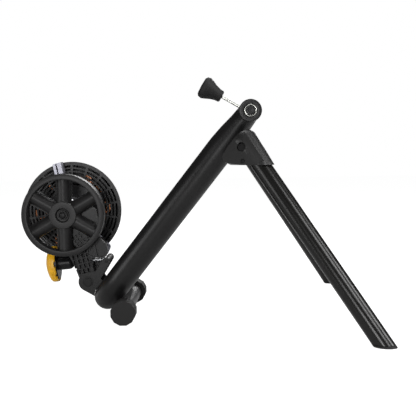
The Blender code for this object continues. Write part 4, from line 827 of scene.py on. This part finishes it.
plug_profile = rounded(((0, PLUG_START), (PLUG_RADIUS, PLUG_START), (PLUG_RADIUS, PLUG_END),
                        (PLUG_DISH_RADIUS, PLUG_END), (PLUG_DISH_RADIUS - PLUG_DISH, PLUG_END - PLUG_DISH),
                        (0, PLUG_END - PLUG_DISH)), 0.0006)
plug = placed("plunger_plug_moulding", turned(plug_profile, 72), side_axis(-1))
dress(plug, grained_plastic, "left_clamp_handle", "moulded_black", "left_plunger_plug")

handle_out = Vector((math.cos(HANDLE_ANGLE), 0, math.sin(HANDLE_ANGLE)))
rod_profile = rounded(((0, COLLAR_START), (COLLAR_RADIUS, COLLAR_START), (COLLAR_RADIUS, COLLAR_END),
                       (ROD_RADIUS, COLLAR_END + 0.0010), (ROD_RADIUS, ROD_LENGTH), (0, ROD_LENGTH)), 0.0005)
handle_rod = placed("handle_rod_chromed", turned(rod_profile, 64), along_axis(AXLE + HANDLE_OFFSET, handle_out))
dress(handle_rod, chrome_plate, "left_clamp_handle", "chrome", "clamp_handle_rod")
dress(softened("clamp_handle_knob", "handle_knob_rubber", 0.0012, 3, 18), moulded_rubber, "left_clamp_handle",
      "rubber_black", "clamp_handle_knob")

spindle_profile = rounded(((0, SPINDLE_START), (SPINDLE_CORE, SPINDLE_START), (SPINDLE_CORE, SPINDLE_END),
                           (0, SPINDLE_END)), 0.0010)
spindle_core = placed("spindle_core", turned(spindle_profile, 64), side_axis(1))
spindle_thread = helix("spindle_thread", 44, 0.00845, 0.088, 0.00062, 40, zinc_plate,
                       side_axis(1) @ Matrix.Translation((0, 0, 0.0925)), 4)
dress(joined("right_spindle_threaded", [spindle_core, spindle_thread]), zinc_plate, "right_screw",
      "zinc_steel", "right_spindle")
print("plunger, handle and spindle on the axle at", [round(v, 4) for v in AXLE])

# %% [markdown]
# ## Flywheel and roller
# The flywheel is a painted casting: a heavy rim, a hub with a deep recess and six half-round spokes. Rim and hub
# are turned; one spoke is drawn and a tree repeats it. The shaft's domed end shows in the nut in the recess. The
# roller is turned from aluminium, with a shallow groove in each end.

# %% Flywheel
UNIT = Vector((-0.2371, 0, 0.1970))
UNIT_AXIS = along_axis(UNIT, AXIS_Y)
RIM_OUTER = 0.0767
RIM_INNER = 0.0665
RIM_FACE = -0.0770
RIM_BACK = -0.0510
HUB_FACE = -0.0755
HUB_RADIUS = 0.0253
SHAFT_BORE = 0.0063
RECESS_RADIUS = 0.0130
SPOKES = 6
SPOKE_WIDTH = 0.0275
SPOKE_BACK = -0.0540
SPOKE_DEPTH = 0.0160
SPOKE_STEPS = 20

rim_profile = ((RIM_INNER, RIM_FACE), (RIM_OUTER, RIM_FACE), (RIM_OUTER, RIM_BACK), (RIM_INNER, RIM_BACK))
rim = placed("rim", turned(rounded_loop(rim_profile, 0.0016), 144, closed=True), UNIT_AXIS)
hub_profile = ((SHAFT_BORE, RIM_BACK), (HUB_RADIUS - 0.0012, RIM_BACK), (HUB_RADIUS, -0.0560), (HUB_RADIUS, HUB_FACE),
               (RECESS_RADIUS, HUB_FACE), (RECESS_RADIUS - 0.0008, -0.0695), (SHAFT_BORE, -0.0695))
hub = placed("hub", turned(rounded_loop(hub_profile, 0.0012), 96, closed=True), UNIT_AXIS)


def spoke_section(distance):
    """A half-round section that flares a little where it runs into the hub and the rim."""
    middle = (HUB_RADIUS + RIM_INNER) / 2
    half = (RIM_INNER - HUB_RADIUS) / 2
    flare = 1 + 0.10 * abs((distance - middle) / half) ** 3
    return [(distance, SPOKE_WIDTH / 2 * flare * math.cos(a), SPOKE_BACK - SPOKE_DEPTH * math.sin(a))
            for a in (math.pi * k / SPOKE_STEPS for k in range(SPOKE_STEPS + 1))]


def make_spoke():
    bm = bmesh.new()
    sections = [[bm.verts.new(p) for p in spoke_section(0.019 + 0.052 * k / 10)] for k in range(11)]
    count = len(sections[0])
    for low, high in zip(sections, sections[1:]):
        for k in range(count):
            bm.faces.new((low[k], high[k], high[(k + 1) % count], low[(k + 1) % count]))
    bm.faces.new(sections[0])
    bm.faces.new(sections[-1])
    bmesh.ops.recalc_face_normals(bm, faces=bm.faces)
    return placed("spoke", bm)


spokes = ring_of("spokes", make_spoke(), SPOKES, 0.0, casting_paint, UNIT_AXIS)
dress(joined("flywheel_casting", [rim, hub, spokes]), casting_paint, "roller_set", "painted_cast_iron",
      "flywheel")
cap_profile = ((0, -0.0753), (0.0022, -0.0752), (0.0042, -0.0748), (0.0056, -0.0741), (0.0062, -0.0736),
               (0.0, -0.0736))
cap = placed("shaft_end_cap", turned(cap_profile, 64), UNIT_AXIS)
dress(cap, black_oxide, "roller_set", "satin_black")
print("flywheel diameter: %.1f mm" % (RIM_OUTER * 2000))

# %% Roller
ROLLER_RADIUS = 0.0286
ROLLER_HALF = 0.0290
roller_profile = ((SHAFT_BORE, -ROLLER_HALF), (0.020, -ROLLER_HALF), (0.0205, -ROLLER_HALF + 0.0012),
                  (0.0250, -ROLLER_HALF + 0.0012), (0.0255, -ROLLER_HALF), (ROLLER_RADIUS - 0.0014, -ROLLER_HALF),
                  (ROLLER_RADIUS, -ROLLER_HALF + 0.0016), (ROLLER_RADIUS, ROLLER_HALF - 0.0016),
                  (ROLLER_RADIUS - 0.0014, ROLLER_HALF), (0.0255, ROLLER_HALF), (0.0250, ROLLER_HALF - 0.0012),
                  (0.0205, ROLLER_HALF - 0.0012), (0.020, ROLLER_HALF), (SHAFT_BORE, ROLLER_HALF))
roller = placed("roller_turned", turned(roller_profile, 128, closed=True), UNIT_AXIS)
dress(roller, turned_aluminium, "roller_set", "aluminium", "roller")
print("roller: %.1f mm across, %.0f mm long" % (ROLLER_RADIUS * 2000, ROLLER_HALF * 2000))

# %% [markdown]
# ## Bearings and coils
# Each bearing has an outer and an inner race, nine balls and a dark shield. The brake's coils are real windings:
# one wire along a helix over a plain inner layer, six times around the stator, with one lead that joins them.

# %% Bearings and coils
BALLS = 9
BALL_RADIUS = 0.0023
BALL_CIRCLE = 0.0113
SHIELD_HALF = 0.0003


def race(inner, outer, start, end, edge):
    profile = ((inner, start), (outer, start), (outer, end), (inner, end), (inner, start), (outer, start))
    return placed("race", turned(rounded(profile, edge)[1:-1], 72, closed=True), UNIT_AXIS)


def bearing(name, start, end, shield_face, node):
    """Two races with balls between them, and a shield near one face."""
    races = [race(0.0138, 0.0160, start, end, 0.0005), race(SHAFT_BORE, 0.0088, start, end, 0.0004)]
    ball = bmesh.new()
    bmesh.ops.create_uvsphere(ball, u_segments=16, v_segments=10, radius=BALL_RADIUS,
                              matrix=Matrix.Translation((BALL_CIRCLE, 0, (start + end) / 2)))
    balls = ring_of("balls", placed("ball", ball), BALLS, 0.0, zinc_plate, UNIT_AXIS)
    dress(joined(name, races + [balls]), zinc_plate, "resistance_unit", "zinc_steel", node)
    near, far = shield_face - SHIELD_HALF, shield_face + SHIELD_HALF
    shield = turned(((0.0090, near), (0.0136, near), (0.0136, far), (0.0090, far)), 72, closed=True)
    dress(placed(name + "_shield", shield, UNIT_AXIS), black_oxide, "resistance_unit", "zinc_steel", node)


bearing("near_bearing_balls", -0.0470, -0.0370, -0.0462, "near_bearing")
bearing("far_bearing_balls", 0.0330, 0.0410, 0.0338, "far_bearing")

COILS = 6
COIL_CIRCLE = 0.0650
COIL_START = math.radians(85)
COIL_LOW = 0.0467
COIL_TURNS = 11
WIRE = 0.00046
winding = helix("winding", COIL_TURNS, 0.0115, 0.0108, WIRE, 36, copper_enamel,
                Matrix.Translation((COIL_CIRCLE, 0, COIL_LOW + WIRE + 0.0001)))
inner_layer = turned(((0.0073, COIL_LOW + 0.0002), (0.01115, COIL_LOW + 0.0002), (0.01115, COIL_LOW + 0.0118),
                      (0.0073, COIL_LOW + 0.0118)), 36, closed=True)
core = placed("inner_layer", inner_layer, Matrix.Translation((COIL_CIRCLE, 0, 0)))
coil = joined("coil", [winding, core])
coils = ring_of("coils", coil, COILS, COIL_START, copper_enamel, UNIT_AXIS)
lead = placed("lead", turned(((0.0643, 0.0573), (0.0657, 0.0573), (0.0657, 0.0585), (0.0643, 0.0585)), 96,
                             closed=True), UNIT_AXIS)
dress(joined("coil_windings", [coils, lead]), copper_enamel, "resistance_unit", "copper_wire", "coil_winding")
print("bearings: 2 of", BALLS, "balls; coils:", COILS, "of", COIL_TURNS, "turns")

# %% [markdown]
# ## Cage
# The cage around the brake is a plastic moulding: a slotted front, a tapered band and a slotted back. All three
# follow one rule, a sector with rows of slots between two ribs, so one function draws a sector on any surface
# and the ring tree repeats it eighteen times. The sector has no walls at its two ends, so the copies join up.

# %% Cage
CAGE_SECTORS = 18
CAGE_RIB = math.radians(3.2)
CAGE_FRONT = (0.0413, 0.0443)
CAGE_BACK = (0.0995, 0.1020)
CAGE_RADIUS = 0.0966
BAND_START = 0.0446
BAND_END = 0.0992
BAND_RADIUS = 0.0950
BACK_RADIUS = 0.0885
BAND_WALL = 0.0025


def slotted_sector(rows, rib, surface, arc_steps=6):
    """One sector with a slot in every other row; surface gives a point from angle, row and side."""
    sector = math.tau / CAGE_SECTORS
    slot = sector - rib
    angles = [0.0] + [rib / 2 + slot * k / arc_steps for k in range(arc_steps + 1)] + [sector]
    bm = bmesh.new()
    corner = {(r, a, side): bm.verts.new(surface(angle, row, side))
              for r, row in enumerate(rows) for a, angle in enumerate(angles) for side in (0, 1)}

    def solid(row, cell):
        inside = 0 <= row < len(rows) - 1
        return inside and (row % 2 == 0 or cell in (-1, 0, len(angles) - 2, len(angles) - 1))

    for r in range(len(rows) - 1):
        for a in range(len(angles) - 1):
            if not solid(r, a):
                continue
            around = ((r, a), (r, a + 1), (r + 1, a + 1), (r + 1, a))
            for side in (0, 1):
                bm.faces.new([corner[(*place, side)] for place in around])
            beside = (solid(r - 1, a), solid(r, a + 1), solid(r + 1, a), solid(r, a - 1))
            for k, joined_on in enumerate(beside):
                if not joined_on:
                    first, second = around[k], around[(k + 1) % 4]
                    bm.faces.new((corner[(*first, 0)], corner[(*second, 0)], corner[(*second, 1)],
                                  corner[(*first, 1)]))
    bmesh.ops.delete(bm, geom=[vertex for vertex in bm.verts if not vertex.link_faces], context="VERTS")
    return placed("sector", bm)


def on_disc(faces):
    """Points on the two faces of a flat disc, by angle and radius."""
    return lambda angle, radius, side: (radius * math.cos(angle), radius * math.sin(angle), faces[side])


def on_band(angle, height, side):
    """Points on the outer or the inner skin of the tapered band."""
    radius = BAND_RADIUS + (BACK_RADIUS - BAND_RADIUS) * (height - BAND_START) / (BAND_END - BAND_START)
    radius -= BAND_WALL * side
    return (radius * math.cos(angle), radius * math.sin(angle), height)


def slots(first, width, pitch, count):
    """The two edges of each slot in a row of slots."""
    return [edge for k in range(count) for edge in (first + pitch * k, first + pitch * k + width)]


front_rows = [CAGE_RADIUS] + slots(0.0895, -0.0036, -0.00705, 6) + [0.0180]
band_rows = [BAND_START] + slots(0.0546, 0.0034, 0.0078, 5) + [BAND_END]
back_rows = [BACK_RADIUS] + slots(0.0740, -0.0050, -0.0090, 4) + [0.0200]
for name, rows, rib, surface in (("cage_front", front_rows, CAGE_RIB, on_disc(CAGE_FRONT)),
                                 ("cage_band", band_rows, math.pi / CAGE_SECTORS, on_band),
                                 ("cage_back", back_rows, CAGE_RIB, on_disc(CAGE_BACK))):
    shell = ring_of(name + "_moulding", slotted_sector(rows, rib, surface), CAGE_SECTORS, 0.0, grained_plastic,
                    UNIT_AXIS)
    print(name, "faces:", len(shell.data.polygons))
    dress(bevelled(shell, 0.0004, 2), grained_plastic, "resistance_unit", "moulded_black", name)

# %% [markdown]
# ## Tension screw
# A threaded rod hangs on a cross pin in the bracket. A black thrust sleeve rides on it and bears on the yoke, and
# a yellow hand knob pushes the sleeve along. The thread is a helix. The knob is a stack of rings that follow eight
# soft lobes; between the lobes its back edge has notches, and its back is hollow.

# %% Tension rod, thrust sleeve and knob
TRUNNION = Vector((-0.1631, 0, 0.1045))
ROD_TOWARD = Vector((-0.996779, 0, -0.080199))
ROD_AXIS = along_axis(TRUNNION, ROD_TOWARD, AXIS_Y)
ROD_END = 0.1075
ROD_CORE = 0.0036
PIN_HALF = 0.0325
PIN_SHOULDER = 0.0285
PIN_RADIUS = 0.006
PIN_END_RADIUS = 0.003

pin = rounded(((0, -PIN_HALF), (PIN_END_RADIUS, -PIN_HALF), (PIN_END_RADIUS, -PIN_SHOULDER),
               (PIN_RADIUS, -PIN_SHOULDER), (PIN_RADIUS, PIN_SHOULDER), (PIN_END_RADIUS, PIN_SHOULDER),
               (PIN_END_RADIUS, PIN_HALF), (0, PIN_HALF)), 0.0006)
cross_pin = placed("trunnion_pin_black", turned(pin, 64), along_axis(TRUNNION, AXIS_Y))
dress(cross_pin, black_oxide, "tension_link", "zinc_steel", "tension_rod")
core_profile = rounded(((0, 0.0), (ROD_CORE, 0.0), (ROD_CORE, ROD_END), (0, ROD_END)), 0.0006)
rod_core = placed("rod_core", turned(core_profile, 40), ROD_AXIS)
thread = helix("thread", 78, 0.00352, 0.0975, 0.00048, 28, zinc_plate,
               ROD_AXIS @ Matrix.Translation((0, 0, 0.009)), 4)
dress(joined("tension_rod_threaded", [rod_core, thread]), zinc_plate, "tension_link", "zinc_steel",
      "tension_rod")
dress(softened("thrust_sleeve", "thrust_sleeve_moulding", 0.0008), grained_plastic, "thrust_sleeve",
      "moulded_black", "thrust_sleeve")

KNOB_START = 0.0988
KNOB_LENGTH = 0.0222
KNOB_RADIUS = 0.0355
KNOB_LOBES = 8
KNOB_LOBE_ANGLE = math.radians(28)
KNOB_FLUTE = 0.0010
KNOB_CAVITY_RADIUS = 0.0305
KNOB_CAVITY = 0.0040
KNOB_NOTCH_HALF = math.asin(0.0055 / KNOB_RADIUS)
KNOB_NOTCH_DEPTH = 0.0026
KNOB_BORE = 0.0043
# The side's profile: the share of the radius and of the length
KNOB_SIDE = ((0.970, 0.000), (0.990, 0.030), (1.000, 0.090), (1.00, 0.25), (1.00, 0.36), (0.990, 0.44),
             (0.95, 0.53), (0.87, 0.635), (0.74, 0.745), (0.56, 0.85), (0.37, 0.928), (0.19, 0.978), (0.06, 0.998))


def from_lobe(angle):
    """The angle to the nearest lobe's middle, between minus and plus half a lobe."""
    step = math.tau / KNOB_LOBES
    return (angle - KNOB_LOBE_ANGLE + step / 2) % step - step / 2


def knob_notch(angle):
    """How far the back edge is cut away at an angle: a rounded notch between every two lobes."""
    from_notch = math.pi / KNOB_LOBES - abs(from_lobe(angle))
    return KNOB_NOTCH_DEPTH * min(1, max(0, (KNOB_NOTCH_HALF - from_notch) / (KNOB_NOTCH_HALF * 0.22)))


def knob_ring(bm, out, along, segments):
    """One ring of the knob: its radius follows the lobes, and its back edge follows the notches."""
    flute = KNOB_FLUTE * min(1, max(0, (out - 0.55 * KNOB_RADIUS) / (0.3 * KNOB_RADIUS)))
    ring = []
    for k in range(segments):
        angle = math.tau * k / segments
        radius = out - flute * (1 - math.cos(from_lobe(angle) * KNOB_LOBES)) / 2
        height = KNOB_START + max(along, knob_notch(angle))
        ring.append(bm.verts.new((radius * math.cos(angle), radius * math.sin(angle), height)))
    return ring


def grip_knob(segments=240):
    bm = bmesh.new()
    inside = ((KNOB_BORE, KNOB_LENGTH - 0.0015), (KNOB_BORE, KNOB_CAVITY), (KNOB_CAVITY_RADIUS, KNOB_CAVITY),
              (KNOB_CAVITY_RADIUS, 0))
    outside = [(KNOB_RADIUS * out, KNOB_LENGTH * along) for out, along in KNOB_SIDE]
    rings = [knob_ring(bm, out, along, segments) for out, along in (*inside, *outside)]
    for low, high in zip(rings, rings[1:]):
        for k in range(segments):
            bm.faces.new((low[k], low[(k + 1) % segments], high[(k + 1) % segments], high[k]))
    bm.faces.new(rings[-1])
    bm.faces.new(rings[0])
    bmesh.ops.recalc_face_normals(bm, faces=bm.faces)
    return bm


knob = placed("tension_knob_moulding", grip_knob(), ROD_AXIS)
dress(knob, yellow_moulding, "tension_knob", "yellow_plastic", "tension_knob")
print("knob faces:", len(knob.data.polygons))

# %% [markdown]
# ## Screws in the silver arm
# Three countersunk screws hold the silver arm to the yoke. Each has a hexagon socket, cut into a turned head.


# %% Arm screws
ARM_SCREWS = ((-0.1741, 0.1240), (-0.1881, 0.1380), (-0.2221, 0.1420))
SCREW_FACE = 0.0410
SCREW_HEAD = 0.0045
SCREW_HEAD_DEPTH = 0.0025
SCREW_SOCKET = 0.0015
SCREW_SOCKET_DEPTH = 0.0016
SCREW_SHANK = 0.0025
SCREW_LENGTH = 0.0215


def socket_screw(place, segments=48):
    """A screw with a hexagon socket in its head; its face lies at z = 0 and it runs to -z."""
    bm = bmesh.new()
    angles = [math.tau * k / segments for k in range(segments)]
    flats = [SCREW_SOCKET / math.cos(angle % (math.pi / 3) - math.pi / 6) for angle in angles]
    levels = ((flats, -SCREW_SOCKET_DEPTH), (flats, 0), ([SCREW_HEAD] * segments, 0),
              ([SCREW_SHANK] * segments, -SCREW_HEAD_DEPTH), ([SCREW_SHANK] * segments, -SCREW_LENGTH))
    loops = [[bm.verts.new(place @ Vector((radius * math.cos(angle), radius * math.sin(angle), height)))
              for radius, angle in zip(radii, angles)] for radii, height in levels]
    for low, high in zip(loops, loops[1:]):
        for k in range(segments):
            bm.faces.new((low[k], low[(k + 1) % segments], high[(k + 1) % segments], high[k]))
    bm.faces.new(loops[0])
    bm.faces.new(loops[-1])
    bmesh.ops.recalc_face_normals(bm, faces=bm.faces)
    return bm


for number, (x, z) in enumerate(ARM_SCREWS, 1):
    screw = placed(f"arm_screw_{number}_socket", socket_screw(along_axis((x, SCREW_FACE, z), AXIS_Y)))
    dress(screw, zinc_plate, "resistance_unit", "zinc_steel", f"far_arm_screw_{number}")
print("arm screws:", len(ARM_SCREWS))

# %% [markdown]
# ## Welds
# The sleeves are welded to the tube. The bead follows the outline of the joint: the tube's own corners that lie on
# the sleeve's skin, unrolled flat, give that outline.

# %% Weld beads
SKIN_REACH = 0.0006
BEAD_SIZE = 0.0013
BEAD_RIPPLES = 60


def joint_outline(node, origin, radius, side):
    """The outline, around a cylinder along y, of the corners of a solid that lie on the cylinder's skin."""
    flat = []
    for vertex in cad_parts[node].data.vertices:
        offset = vertex.co - origin
        distance = math.hypot(offset.x, offset.z)
        if abs(distance - radius) < SKIN_REACH and offset.y * side > 0:
            flat.append(Vector((offset.y, math.atan2(offset.z, offset.x) * radius)))
    return [flat[k] for k in geometry.convex_hull_2d(flat)]


def weld(name, outline, origin, radius):
    """A bead on a cylinder's skin along a closed outline, whose points hold a place on y and a way around."""
    curve = bpy.data.curves.new(name + "_path", "CURVE")
    curve.dimensions = "3D"
    line = curve.splines.new("POLY")
    line.points.add(len(outline) - 1)
    for point, flat in zip(line.points, outline):
        angle = flat.y / radius
        point.co = (origin.x + radius * math.cos(angle), origin.y + flat.x, origin.z + radius * math.sin(angle), 1)
    line.use_cyclic_u = True
    path = bpy.data.objects.new(name + "_path", curve)
    bpy.context.scene.collection.objects.link(path)
    bead = grown(name, WELD_BEAD, {"Path": path, "Ripples": BEAD_RIPPLES, "Size": BEAD_SIZE, "Finish": powder_coat})
    bpy.data.objects.remove(path)
    dress(bead, powder_coat, "frame", "powder_black")


for side, word in ((-1, "left"), (1, "right")):
    outline = joint_outline("main_tube", AXLE, SLEEVE_RADIUS + GAP, side)
    print(word, "sleeve weld corners:", len(outline))
    weld(word + "_sleeve_weld", outline, AXLE, SLEEVE_RADIUS)
